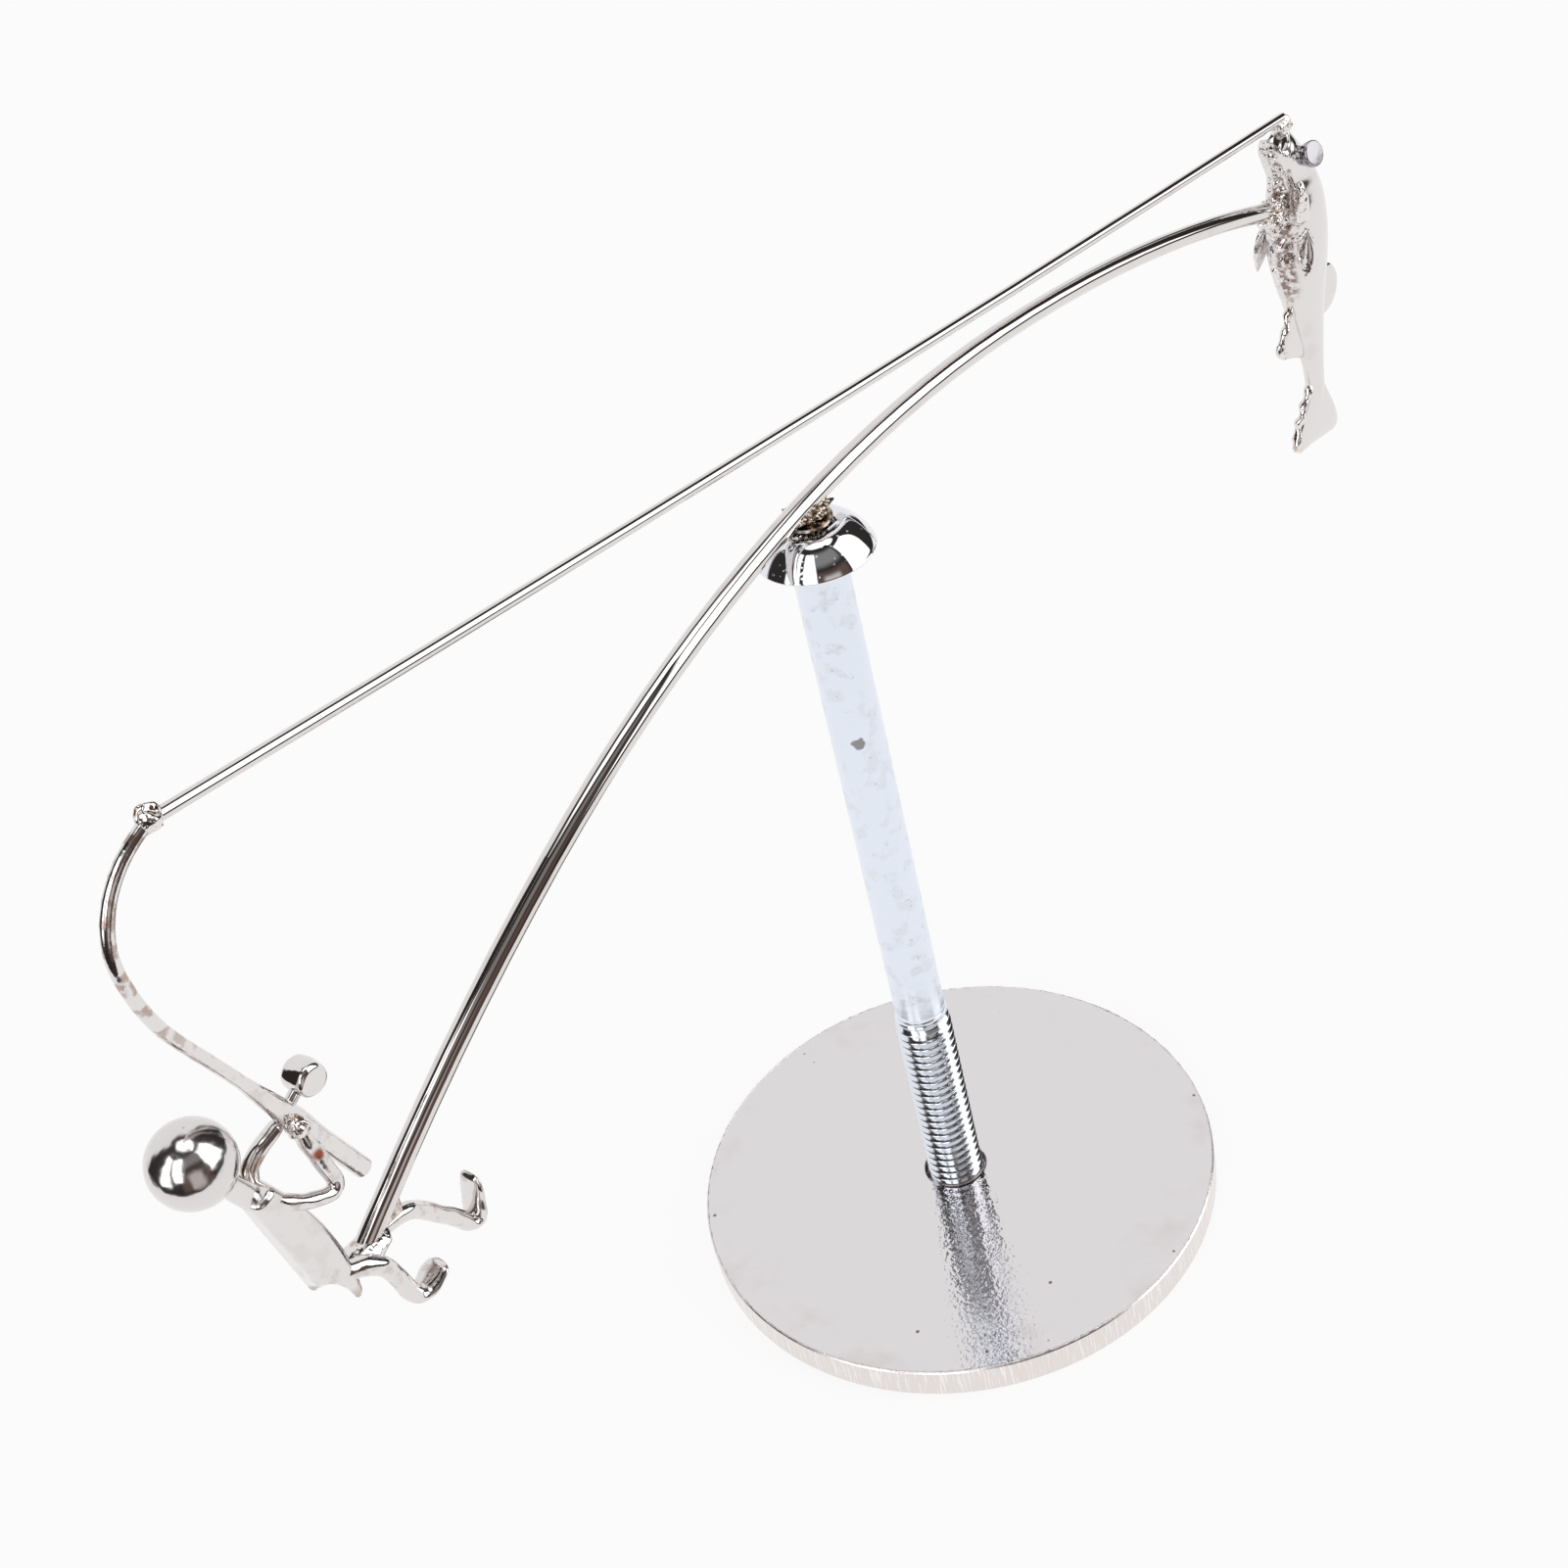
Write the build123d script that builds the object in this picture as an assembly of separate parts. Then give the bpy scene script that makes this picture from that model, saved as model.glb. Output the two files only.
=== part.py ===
"""A balancing toy: a fisherman and his fish on the two ends of one bent wire arm.

The arm stands on a small ball point in the hex socket of a button-head bolt, and the bolt is
screwed into a heavy round base. Both ends of the arm hang below the point, so it rocks and turns
and comes back to rest. Sizes are in millimetres. The origin is the centre of the base's underside,
+Z is up and +X runs from the post towards the fish.
"""

from build123d import *
from math import cos, degrees, radians, sin, tan
import os

# Base disc
BASE_D = 56.0
BASE_T = 3.5
BASE_EDGE = 0.2
FOOT_SINK_D = 6.9

# Bolt that makes the post: M6 with a plain reduced shank and a button head
THREAD_D = 5.9
THREAD_L = 25.2
SHANK_D = 5.25
BOLT_L = 84.7
BOLT_END_BEVEL = 0.6
HEAD_D = 11.1
HEAD_H = 3.0
HEAD_RIM_H = 0.5
HEAD_FLAT_D = 5.8
NECK_FILLET = 0.35
SOCKET_AF = 4.0
SOCKET_DEPTH = 2.1
SOCKET_DRILL_D = 2.4
DRILL_ANGLE = 118.0

# Pivot: a ball point held in a stepped pin, under the arm
BALL_D = 1.2
BALL_SEAT_GAP = 0.01
BALL_CUP_GAP = 0.02
CUP_LIFT = 0.12
PIN_L = 2.5
PIN_TIP_D = 1.5
PIN_ROOT_D = 2.6
PIN_PLATE_D = 4.4
PIN_PLATE_T = 0.3
PIN_SOLDER_T = 0.37
PIN_SOLDER_RISE = 1.3

# Balance arm: one round wire in three tangent bends
ARM_D = 2.0
ARM_SLOPE = 7.75
ARM_MID_R = 125.8
ARM_MID_SEAT_L = 40.0
ARM_MID_FISH_L = 30.0
ARM_SEAT_R = 182.0
ARM_SEAT_L = 35.4
ARM_FISH_R = 200.0
ARM_FISH_L = 53.5
SEAT_CUT_RISE = 0.57
SEAT_CUT_SLOPE = 13.0

# Fisherman; points in his own frame are x forwards, y to his left, z up along his back
LEAN = 10.1
FIGURE_Y = -0.5
TORSO_BACK = 3.5
HIP_W = 3.6
HIP_T = 2.15
HIP_Z = -0.7
BELLY_W = 3.6
BELLY_T = 2.9
BELLY_H = 4.0
SHOULDER_W = 3.0
SHOULDER_T = 1.8
SHOULDER_H = 14.2
TORSO_ROUND = 0.7
BACK_X = -0.85
NOTCH_R = 2.35
NOTCH_AT = (-1.5, -1.2, 0)
NOTCH_TOWARDS = (0.2, 0.6, -0.75)
NECK_D = 1.5
HEAD_BALL_D = 7.0
HEAD_PLACE = (-2.0, 0, 21.1)
ARM_ROD_D = 1.2
ELBOW_R = 1.3
RIGHT_ARM = ((0.4, -0.9, 13.6), (2.1, -1.7, 11.0), (5.1, -2.0, 9.0), (5.6, -0.6, 15.9))
LEFT_ARM = ((0.4, 0.9, 13.7), (1.7, 1.1, 15.4), (4.9, 0.8, 16.1))
LEG_D = 1.6
KNEE_R = 1.5
RIGHT_LEG = ((0.8, -1.1, 1.9), (3.9, -2.1, 0.5), (4.1, -2.3, -5.6))
RIGHT_TOE = (7.2, -2.3, -5.3)
LEFT_LEG = ((0.2, 1.1, 0.5), (9.6, 1.9, -2.7), (13.2, 2.1, -10.4))
LEFT_TOE = (15.2, 2.1, -6.8)
LEFT_FOOT_L = 4.4
RIGHT_FOOT_L = 3.8
FOOT_W = 2.5
FOOT_T = 0.75

# Fishing rod: one bar, thick at the hands, then thin and bent over; a small reel under it
HANDLE_BUTT = (8.06, 0.5, 6.13)
HANDLE_TILT = 21.7
HANDLE_L = 16.5
HANDLE_BUTT_D = 1.75
HANDLE_STRAIGHT_L = 6.0
HANDLE_GRIP_D = 2.15
HANDLE_GRIP_AT = 9.6
ROD_D = 1.1
ROD_KINK_R = 60.0
ROD_KINK = 2.1
ROD_STRAIGHT_L = 5.0
ROD_SLOW_R = 22.0
ROD_SLOW_TURN = 22.5
ROD_FAST_R = 8.8
ROD_FAST_TURN = 69.4
ROD_END_L = 1.6
REEL_D = 2.9
REEL_L = 2.6
REEL_AT = 10.9
REEL_OUT = 3.1
REEL_SIDE = 0.35
STEM_D = 1.0

# Fishing line: one stiff wire that sags very little
LINE_D = 1.1
LINE_SAG = 0.5
LINE_START_GAP = 0.3
LINE_START_LOW = 0.2
LINE_END_BACK = 1.1
LINE_UP = 9.3

# Fish: two halves joined on the middle plane, hollow in the body, heights counted from the
# arm's joint. Each section is (height, shift towards the back, depth from belly to back, thickness).
FISH_HEAD = (
    (9.2, -3.3, 2.8, 1.7),
    (7.4, -2.6, 4.3, 2.5),
    (5.1, -1.4, 5.6, 3.5),
)
FISH_BODY = (
    (3.0, -0.5, 6.4, 4.0),
    (1.0, 0.0, 7.4, 4.8),
    (-1.5, 0.1, 8.2, 5.7),
    (-4.5, 0.1, 8.3, 6.0),
    (-7.5, 0.1, 8.1, 5.7),
    (-11.0, 0.4, 7.1, 4.7),
    (-16.0, 0.9, 5.2, 3.2),
    (-21.0, 1.5, 3.7, 2.1),
)
FISH_TAIL = (
    (-25.0, 1.7, 3.1, 1.6),
    (-28.5, 1.7, 3.2, 1.2),
)
FISH_WALL = 0.387
FISH_RISE = 0.6
FISH_OUT = 4.15
ARM_IN_FISH = 1.4
MOUTH = ((-3.9, 10.5), (-3.6, 8.7), (-2.5, 6.7), (-0.9, 7.6), (1.0, 8.2), (1.0, 10.5))
FIN_T = 0.8
BACK_FIN_R = 2.8
BACK_FIN_AT = (5.3, -14.4)
BELLY_FIN = ((-2.0, -12.2), (-5.3, -17.0), (-5.1, -17.9), (-0.9, -20.2), (0.6, -13.0))
TAIL_T = 1.1
TAIL = (
    (0.1, -24.4),
    (-2.7, -28.6),
    (-3.5, -30.2),
    (-3.1, -31.4),
    (-0.6, -32.0),
    (5.0, -32.9),
    (5.9, -32.2),
    (5.7, -30.6),
    (3.4, -25.0),
)
EYE_D = 2.9
EYE_T = 1.6
EYE_AT = (0.4, 1.4, 4.5)
PECTORAL_L = 5.6
PECTORAL_W = 2.3
PECTORAL_T = 0.6
PECTORAL_AT = (-2.0, -3.0)
PECTORAL_SIDE = 2.5
PECTORAL_FLARE = 2.0
PECTORAL_SWEEP = 17.0
PECTORAL_TURN = 25.0

# Solder: half-axes of the drops along x, y and z, or a diameter
HAND_BEAD_D = 1.9
KNOT_D = 2.1
SEAT_BEAD = (2.4, 1.5, 0.95)
THIGH_BEAD = (2.0, 1.0, 1.6)
THIGH_BEAD_OUT = 6.3
FISH_BEAD_D = 3.4
MOUTH_BEAD = (1.4, 0.75, 1.2)

HEAD_UNDERSIDE_Z = BOLT_L
HEAD_TOP_Z = HEAD_UNDERSIDE_Z + HEAD_H
SOCKET_FLOOR_Z = HEAD_TOP_Z - SOCKET_DEPTH
HALF_DRILL = radians(DRILL_ANGLE / 2)
DRILL_POINT_Z = SOCKET_FLOOR_Z - SOCKET_DRILL_D / 2 / tan(HALF_DRILL)
PIVOT_Z = DRILL_POINT_Z + (BALL_D / 2 + BALL_SEAT_GAP) / sin(HALF_DRILL)
PLATE_Z = PIVOT_Z + PIN_L
PLATE_TOP_Z = PLATE_Z + PIN_PLATE_T
ARM_Z = PLATE_TOP_Z + PIN_SOLDER_T + ARM_D / 2 / cos(radians(ARM_SLOPE))
UP = (Align.CENTER, Align.CENTER, Align.MIN)
DOWN = (Align.CENTER, Align.CENTER, Align.MAX)


def heading(angle):
    """A unit direction in a drawing plane, the angle counted up from the first axis in degrees."""
    return Vector(cos(radians(angle)), sin(radians(angle)))


def bend(start, tangent, radius, length, side):
    """An arc of a given length, tangent to what comes before it; side is 1 for left, -1 for right."""
    return JernArc(start, tangent, radius, side * degrees(length / radius))


def leaning(origin, angle):
    """A frame that leans back from upright by an angle, with x forwards and z up along it."""
    forward = (cos(radians(angle)), 0, sin(radians(angle)))
    return Plane(origin=origin, x_dir=forward, z_dir=(-forward[2], 0, forward[0]))


def rod_along(path, diameter):
    """A round rod swept along a path."""
    return sweep(Plane(origin=path @ 0, z_dir=path % 0) * Circle(diameter / 2), path=path)


def straight_rod(start, end, diameter):
    """A round rod from one point to another."""
    return rod_along(Line(start, end), diameter)


def bent_rod(points, diameter, radius):
    """A round rod along straight runs, with its corners bent to one radius."""
    return rod_along(FilletPolyline(*points, radius=radius), diameter)


def largest(shape):
    """The largest solid of a coped piece, without the slivers that its cut end leaves."""
    return shape.solids().sort_by(SortBy.VOLUME)[-1]


def bead(place, radii):
    """A drop of solder: a ball stretched to three half-axes."""
    return Pos(*place) * scale(Sphere(1), by=radii)


def arm_path():
    """The arm's centre line, drawn from the pivot both ways and joined from the fisherman's end."""
    over_pivot = Vector(0, ARM_Z)
    to_seat = bend(over_pivot, heading(ARM_SLOPE + 180), ARM_MID_R, ARM_MID_SEAT_L, 1)
    seat_end = bend(to_seat @ 1, to_seat % 1, ARM_SEAT_R, ARM_SEAT_L, 1)
    seat = bend(seat_end @ 1, -(seat_end % 1), ARM_SEAT_R, ARM_SEAT_L, -1)
    middle = bend(seat @ 1, seat % 1, ARM_MID_R, ARM_MID_SEAT_L + ARM_MID_FISH_L, -1)
    fish = bend(middle @ 1, middle % 1, ARM_FISH_R, ARM_FISH_L, -1)
    return Plane.XZ * Wire([seat, middle, fish])


ARM_PATH = arm_path()
SEAT = ARM_PATH @ 0
ARM_END = ARM_PATH @ 1
FIGURE = leaning((SEAT.X - TORSO_BACK, FIGURE_Y, SEAT.Z), LEAN)
HANDLE = leaning((FIGURE * Pos(*HANDLE_BUTT)).position, HANDLE_TILT)
FISH = Pos(ARM_END.X + FISH_OUT - ARM_IN_FISH, 0, ARM_END.Z + FISH_RISE)


def base_disc():
    """The heavy base: a turned disc with a tapped hole, countersunk a little at the top."""
    disc = Cylinder(BASE_D / 2, BASE_T, align=UP)
    disc = chamfer(disc.edges().filter_by(GeomType.CIRCLE), BASE_EDGE)
    hole = Cylinder(THREAD_D / 2, BASE_T, align=UP)
    sink = Cone(THREAD_D / 2, FOOT_SINK_D / 2, (FOOT_SINK_D - THREAD_D) / 2, align=DOWN)
    return disc - hole - Pos(0, 0, BASE_T) * sink


def post_bolt():
    """The bolt: thread, plain shank, and a domed head with a hex socket drilled to a point."""
    thread_r, shank_r, head_r = THREAD_D / 2, SHANK_D / 2, HEAD_D / 2
    rim_z = HEAD_UNDERSIDE_Z + HEAD_RIM_H
    flat_r = HEAD_FLAT_D / 2
    dome = Bezier(
        (head_r, rim_z),
        (head_r, rim_z + 0.55 * (HEAD_TOP_Z - rim_z)),
        (head_r - 0.45 * (head_r - flat_r), HEAD_TOP_Z),
        (flat_r, HEAD_TOP_Z),
    )
    side = Polyline(
        (flat_r, HEAD_TOP_Z),
        (0, HEAD_TOP_Z),
        (0, 0),
        (thread_r - BOLT_END_BEVEL, 0),
        (thread_r, BOLT_END_BEVEL),
        (thread_r, THREAD_L - (thread_r - shank_r)),
        (shank_r, THREAD_L),
        (shank_r, HEAD_UNDERSIDE_Z - NECK_FILLET),
    )
    neck = JernArc(side @ 1, (0, 1), NECK_FILLET, -90)
    rim = Polyline(neck @ 1, (head_r, HEAD_UNDERSIDE_Z), (head_r, rim_z))
    bolt = revolve(Plane.XZ * make_face([dome, side, neck, rim]), Axis.Z)
    hexagon = RegularPolygon(SOCKET_AF / 2, 6, major_radius=False)
    socket = extrude(Pos(0, 0, SOCKET_FLOOR_Z) * hexagon, SOCKET_DEPTH)
    drill = Cone(0, SOCKET_DRILL_D / 2, SOCKET_FLOOR_Z - DRILL_POINT_Z, align=DOWN)
    return bolt - socket - Pos(0, 0, SOCKET_FLOOR_Z) * drill


def pivot_ball():
    """The hard ball that the whole arm stands on, in the drill point of the socket."""
    return Pos(0, 0, PIVOT_Z) * Sphere(BALL_D / 2)


def pivot_pin():
    """The pin under the arm: a thin plate on a tapered stem, cupped over the ball."""
    low = PIVOT_Z + CUP_LIFT
    outline = Polyline(
        (0, low),
        (PIN_TIP_D / 2, low),
        (PIN_ROOT_D / 2, PLATE_Z),
        (PIN_PLATE_D / 2, PLATE_Z),
        (PIN_PLATE_D / 2, PLATE_TOP_Z),
        (0, PLATE_TOP_Z),
        close=True,
    )
    pin = revolve(Plane.XZ * make_face(outline), Axis.Z)
    return pin - Pos(0, 0, PIVOT_Z) * Sphere(BALL_D / 2 + BALL_CUP_GAP)


def pivot_solder(arm):
    """The solder that holds the pin's plate under the arm and climbs the wire's two sides."""
    foot_ring = Pos(0, 0, PLATE_TOP_Z) * Circle(PIN_PLATE_D / 2 - 0.15)
    crest = Pos(0, 0, PLATE_TOP_Z + PIN_SOLDER_RISE) * Ellipse(PIN_PLATE_D / 2 - 0.7, ARM_D / 2 + 0.15)
    return loft([foot_ring, crest]) - arm


def balance_arm():
    """The arm: one bent wire, cut nearly level at the fisherman's end so that it lies on his lap."""
    cut = Box(8 * ARM_D, 2 * ARM_D, 4 * ARM_D, align=DOWN)
    end = Pos(SEAT.X, 0, SEAT.Z + SEAT_CUT_RISE) * Rot(0, -SEAT_CUT_SLOPE, 0)
    return rod_along(ARM_PATH, ARM_D) - end * cut


def torso():
    """The body: a flattened bar with a flat back, its lower back corner filed away on a slant."""
    outline = (
        (HIP_Z, HIP_T, HIP_W),
        (BELLY_H, BELLY_T, BELLY_W),
        (SHOULDER_H, SHOULDER_T, SHOULDER_W),
    )
    bar = loft([Pos(BACK_X + t / 2, 0, z) * RectangleRounded(t, w, TORSO_ROUND) for z, t, w in outline])
    neck = straight_rod((0, 0, SHOULDER_H - NECK_D), HEAD_PLACE, NECK_D)
    notch = Plane(origin=NOTCH_AT, z_dir=NOTCH_TOWARDS) * Cylinder(NOTCH_R, 6 * NOTCH_R)
    return FIGURE * (bar + neck - notch)


def foot(heel, toe, length):
    """A foot: the leg's end beaten flat into an oval that stands up from the heel."""
    along = (Vector(toe) - Vector(heel)).normalized()
    centre = Vector(heel) + along * (length / 2 - LEG_D / 3)
    flat = Plane(origin=centre, x_dir=along, z_dir=along.cross(Vector(0, 1, 0)))
    return extrude(flat * Ellipse(length / 2, FOOT_W / 2), FOOT_T / 2, both=True)


def leg(points, toe, foot_length):
    """A leg: one bent rod, rounded at the heel, with its foot."""
    heel = points[-1]
    rod = bent_rod(points, LEG_D, KNEE_R) + Pos(*heel) * Sphere(LEG_D / 2)
    return FIGURE * (rod + foot(heel, toe, foot_length))


def rod_handle():
    """The rod's handle: straight at the butt, thickest at the hands, tapered to the front."""
    outline = Polyline(
        (0, 0),
        (HANDLE_BUTT_D / 2, 0),
        (HANDLE_BUTT_D / 2, HANDLE_STRAIGHT_L),
        (HANDLE_GRIP_D / 2, HANDLE_GRIP_AT),
        (ROD_D / 2, HANDLE_L),
        (0, HANDLE_L),
        close=True,
    )
    return HANDLE * revolve(Plane.XZ * make_face(outline), Axis.Z)


def rod_path():
    """The thin rod's centre line: on from the handle, then bent over towards the fish."""
    start = (HANDLE * Pos(0, 0, HANDLE_L)).position
    kink = JernArc((start.X, start.Z), heading(90 + HANDLE_TILT), ROD_KINK_R, ROD_KINK)
    straight = Line(kink @ 1, kink @ 1 + (kink % 1) * ROD_STRAIGHT_L)
    slow = JernArc(straight @ 1, straight % 1, ROD_SLOW_R, -ROD_SLOW_TURN)
    fast = JernArc(slow @ 1, slow % 1, ROD_FAST_R, -ROD_FAST_TURN)
    end = Line(fast @ 1, fast @ 1 + (fast % 1) * ROD_END_L)
    return Plane.XZ * Wire([kink, straight, slow, fast, end])


def reel_stem():
    """The reel's short foot, from the handle's middle to the drum's middle."""
    return HANDLE * straight_rod((0, 0, REEL_AT), (REEL_OUT, REEL_SIDE, REEL_AT), STEM_D)


def reel_drum():
    """The reel: a small barrel across the rod, with its edges rounded."""
    drum = Cylinder(REEL_D / 2, REEL_L, rotation=(90, 0, 0))
    drum = fillet(drum.edges().filter_by(GeomType.CIRCLE), 0.3)
    return HANDLE * Pos(REEL_OUT, REEL_SIDE, REEL_AT) * drum


def fish_ovals(sections, wall=0):
    """The fish's oval sections at their heights, drawn in by a wall."""
    return [
        Pos(shift, 0, height) * Ellipse(depth / 2 - wall, thickness / 2 - wall)
        for height, shift, depth, thickness in sections
    ]


def fish_body():
    """The fish's outside, smooth from its lips to its tail's root."""
    return loft(fish_ovals(FISH_HEAD + FISH_BODY + FISH_TAIL))


def flat_fin(outline, corner, thickness):
    """A flat fin on the middle plane with its corners rounded."""
    face = fillet(make_face(Polyline(*outline, close=True)).vertices(), corner)
    return extrude(Plane.XZ * face, thickness / 2, both=True)


def fish_whole():
    """The whole fish before it is parted: body, middle fins and the open mouth, hollow inside."""
    back_fin = Pos(BACK_FIN_AT[0], 0, BACK_FIN_AT[1]) * Cylinder(BACK_FIN_R, FIN_T, rotation=(90, 0, 0))
    fins = back_fin + flat_fin(BELLY_FIN, 0.35, FIN_T) + flat_fin(TAIL, 0.5, TAIL_T)
    mouth = extrude(Plane.XZ * make_face(Polyline(*MOUTH, close=True)), FISH_OUT, both=True)
    hollow = loft(fish_ovals(FISH_BODY, FISH_WALL), ruled=True)
    return fish_body() + fins - mouth - hollow


def fish_half(whole, side, arm):
    """One pressed half of the fish; side is 1 for the left half and -1 for the right."""
    half_space = Pos(0, side * BASE_D / 2, 0) * Box(2 * BASE_D, BASE_D, 4 * BASE_D)
    return FISH * (whole & half_space) - arm


def fish_eye(side):
    """An eye: a thick round button on the cheek."""
    button = Cylinder(EYE_D / 2, EYE_T, align=UP)
    button = fillet(button.edges().sort_by(Axis.Z)[-1], 0.45)
    return FISH * Pos(EYE_AT[0], side * EYE_AT[1], EYE_AT[2]) * Rot(-side * 90, 0, 0) * button


def pectoral_fin(side):
    """A side fin: a pointed leaf hanging from the shoulder, flared out a little."""
    outline = make_face(
        [
            ThreePointArc((0, 0), (PECTORAL_W / 2, -0.42 * PECTORAL_L), (0, -PECTORAL_L)),
            ThreePointArc((0, -PECTORAL_L), (-PECTORAL_W / 2, -0.42 * PECTORAL_L), (0, 0)),
        ]
    )
    leaf = extrude(Plane.XZ * outline, PECTORAL_T / 2, both=True)
    place = Pos(PECTORAL_AT[0], side * PECTORAL_SIDE, PECTORAL_AT[1])
    return FISH * place * Rot(0, PECTORAL_SWEEP, 0) * Rot(side * PECTORAL_FLARE, 0, side * PECTORAL_TURN) * leaf


def build():
    """Makes every piece, coped where pieces meet, keyed by its node's name."""
    parts = {"base_disc": base_disc(), "post_bolt": post_bolt()}
    parts["pivot_ball"] = pivot_ball()
    parts["pivot_pin"] = pivot_pin()
    arm = balance_arm()
    parts["balance_arm"] = arm
    parts["pivot_solder"] = pivot_solder(arm)

    head = FIGURE * Pos(*HEAD_PLACE) * Sphere(HEAD_BALL_D / 2)
    body = torso() - head
    rod = rod_handle() + rod_along(rod_path(), ROD_D)
    drum = reel_drum()
    stem = reel_stem() - rod - drum
    parts["head_ball"] = head
    parts["torso"] = body
    left_arm = FIGURE * bent_rod(LEFT_ARM, ARM_ROD_D, ELBOW_R) - body - rod
    right_arm = FIGURE * bent_rod(RIGHT_ARM, ARM_ROD_D, ELBOW_R) - body - rod
    parts["left_arm"] = left_arm
    parts["right_arm"] = right_arm
    left_leg = largest(leg(LEFT_LEG, LEFT_TOE, LEFT_FOOT_L) - body - arm)
    right_leg = largest(leg(RIGHT_LEG, RIGHT_TOE, RIGHT_FOOT_L) - body - arm)
    parts["left_leg"] = left_leg
    parts["right_leg"] = right_leg
    parts["fishing_rod"] = rod
    parts["reel_stem"] = stem
    parts["reel_drum"] = drum

    knot_at = rod_path() @ 1
    fish_at = FISH.position
    line_start = Vector(knot_at.X + LINE_START_GAP, 0, knot_at.Z - LINE_START_LOW)
    line_end = Vector(fish_at.X - LINE_END_BACK, 0, fish_at.Z + LINE_UP)
    line_path = SagittaArc((line_start.X, line_start.Z), (line_end.X, line_end.Z), -LINE_SAG)
    line = rod_along(Plane.XZ * line_path, LINE_D) - rod
    parts["line_wire"] = line

    whole = fish_whole()
    right_eye, left_eye = fish_eye(-1), fish_eye(1)
    left_half = fish_half(whole, 1, arm) - line
    right_half = fish_half(whole, -1, arm) - line
    parts["fish_left_half"] = left_half
    parts["fish_right_half"] = right_half
    parts["fish_left_eye"] = left_eye - left_half
    parts["fish_right_eye"] = right_eye - right_half
    parts["left_side_fin"] = pectoral_fin(1) - left_half
    parts["right_side_fin"] = pectoral_fin(-1) - right_half

    hand = FIGURE * Pos(*RIGHT_ARM[-1]) * Sphere(HAND_BEAD_D / 2)
    parts["hand_solder"] = hand - right_arm - rod
    seat_drop = bead((SEAT.X + 0.6, FIGURE_Y / 2, SEAT.Z + 0.5), SEAT_BEAD)
    parts["seat_solder"] = seat_drop - body - arm - left_leg - right_leg
    knee = (FIGURE * Pos(*LEFT_LEG[0])).position
    thigh_drop = bead((knee.X + THIGH_BEAD_OUT, knee.Y / 2, knee.Z + 0.6), THIGH_BEAD)
    parts["thigh_solder"] = thigh_drop - arm - left_leg - seat_drop
    parts["knot_solder"] = Pos(*knot_at) * Sphere(KNOT_D / 2) - rod - line
    joint = Pos(fish_at.X - FISH_OUT, 0, ARM_END.Z + 0.2) * Sphere(FISH_BEAD_D / 2)
    parts["fish_solder"] = joint - arm - FISH * fish_body()
    lip = bead(tuple(line_end - Vector(0.2, 0, 0.9)), MOUTH_BEAD)
    parts["mouth_solder"] = lip - line - left_half - right_half
    return parts


def balance(parts):
    """Prints where the arm's load hangs from the ball, counting every piece as steel."""
    hung = [p for name, p in parts.items() if name not in ("base_disc", "post_bolt", "pivot_ball")]
    volume = sum(p.volume for p in hung)
    centre = sum((p.center(CenterOf.MASS) * p.volume for p in hung), Vector()) / volume
    print(f"hung volume {volume:.1f} mm3, centre from the ball "
          f"{centre.X:.3f} {centre.Y:.3f} {centre.Z - PIVOT_Z:.3f} mm")


os.makedirs("parts", exist_ok=True)
PARTS = build()
balance(PARTS)
for node, solid in PARTS.items():
    export_step(solid, f"parts/{node}.step")
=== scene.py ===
"""A balancing toy in nickel-plated wire: a fisherman and his fish on a bolt, shown on white.

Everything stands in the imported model's own frame, in metres: the origin is the middle of the
base's underside, +Z is up and +X runs from the post towards the fish.
"""

from math import atan2, cos, degrees, pi, radians, sin, sqrt, tan

import bmesh
import bpy
import numpy as np
from mathutils import Matrix, Vector


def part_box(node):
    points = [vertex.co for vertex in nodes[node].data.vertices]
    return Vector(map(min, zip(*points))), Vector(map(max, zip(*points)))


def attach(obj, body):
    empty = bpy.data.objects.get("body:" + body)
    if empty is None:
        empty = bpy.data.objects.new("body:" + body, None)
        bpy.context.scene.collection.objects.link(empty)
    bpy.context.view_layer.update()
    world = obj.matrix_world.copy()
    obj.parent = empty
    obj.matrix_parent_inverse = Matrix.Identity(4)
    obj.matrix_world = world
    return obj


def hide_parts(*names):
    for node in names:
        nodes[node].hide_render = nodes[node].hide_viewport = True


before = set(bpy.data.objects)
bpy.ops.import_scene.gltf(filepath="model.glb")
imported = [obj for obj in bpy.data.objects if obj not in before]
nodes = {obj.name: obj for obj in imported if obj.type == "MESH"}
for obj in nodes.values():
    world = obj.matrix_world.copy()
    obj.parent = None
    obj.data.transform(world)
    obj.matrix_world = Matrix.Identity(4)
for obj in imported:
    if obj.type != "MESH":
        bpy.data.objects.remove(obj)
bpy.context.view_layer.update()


# ---- The camera ----
# It looks down on the toy over the fisherman's shoulder, rolled over a little, as the photograph
# was taken: heading from +X towards +Y, tilt below level, roll clockwise.

CAMERA_PLACE = (-0.129339, -0.129339, 0.199859)
CAMERA_HEADING = 47.48
CAMERA_TILT = 37.375
CAMERA_ROLL = 14.34
LENS = 55.30
SENSOR = 36.0

camera = bpy.data.objects.new("camera", bpy.data.cameras.new("camera"))
bpy.context.scene.collection.objects.link(camera)
camera.data.sensor_width = SENSOR
camera.data.sensor_fit = "HORIZONTAL"
camera.data.lens = LENS
camera.data.clip_start = 0.01
camera.data.clip_end = 20.0
camera.matrix_world = (
    Matrix.Translation(CAMERA_PLACE)
    @ Matrix.Rotation(radians(CAMERA_HEADING - 90), 4, "Z")
    @ Matrix.Rotation(radians(90 - CAMERA_TILT), 4, "X")
    @ Matrix.Rotation(radians(-CAMERA_ROLL), 4, "Z")
)
bpy.context.scene.camera = camera
bpy.context.scene.view_settings.view_transform = "Standard"


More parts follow.
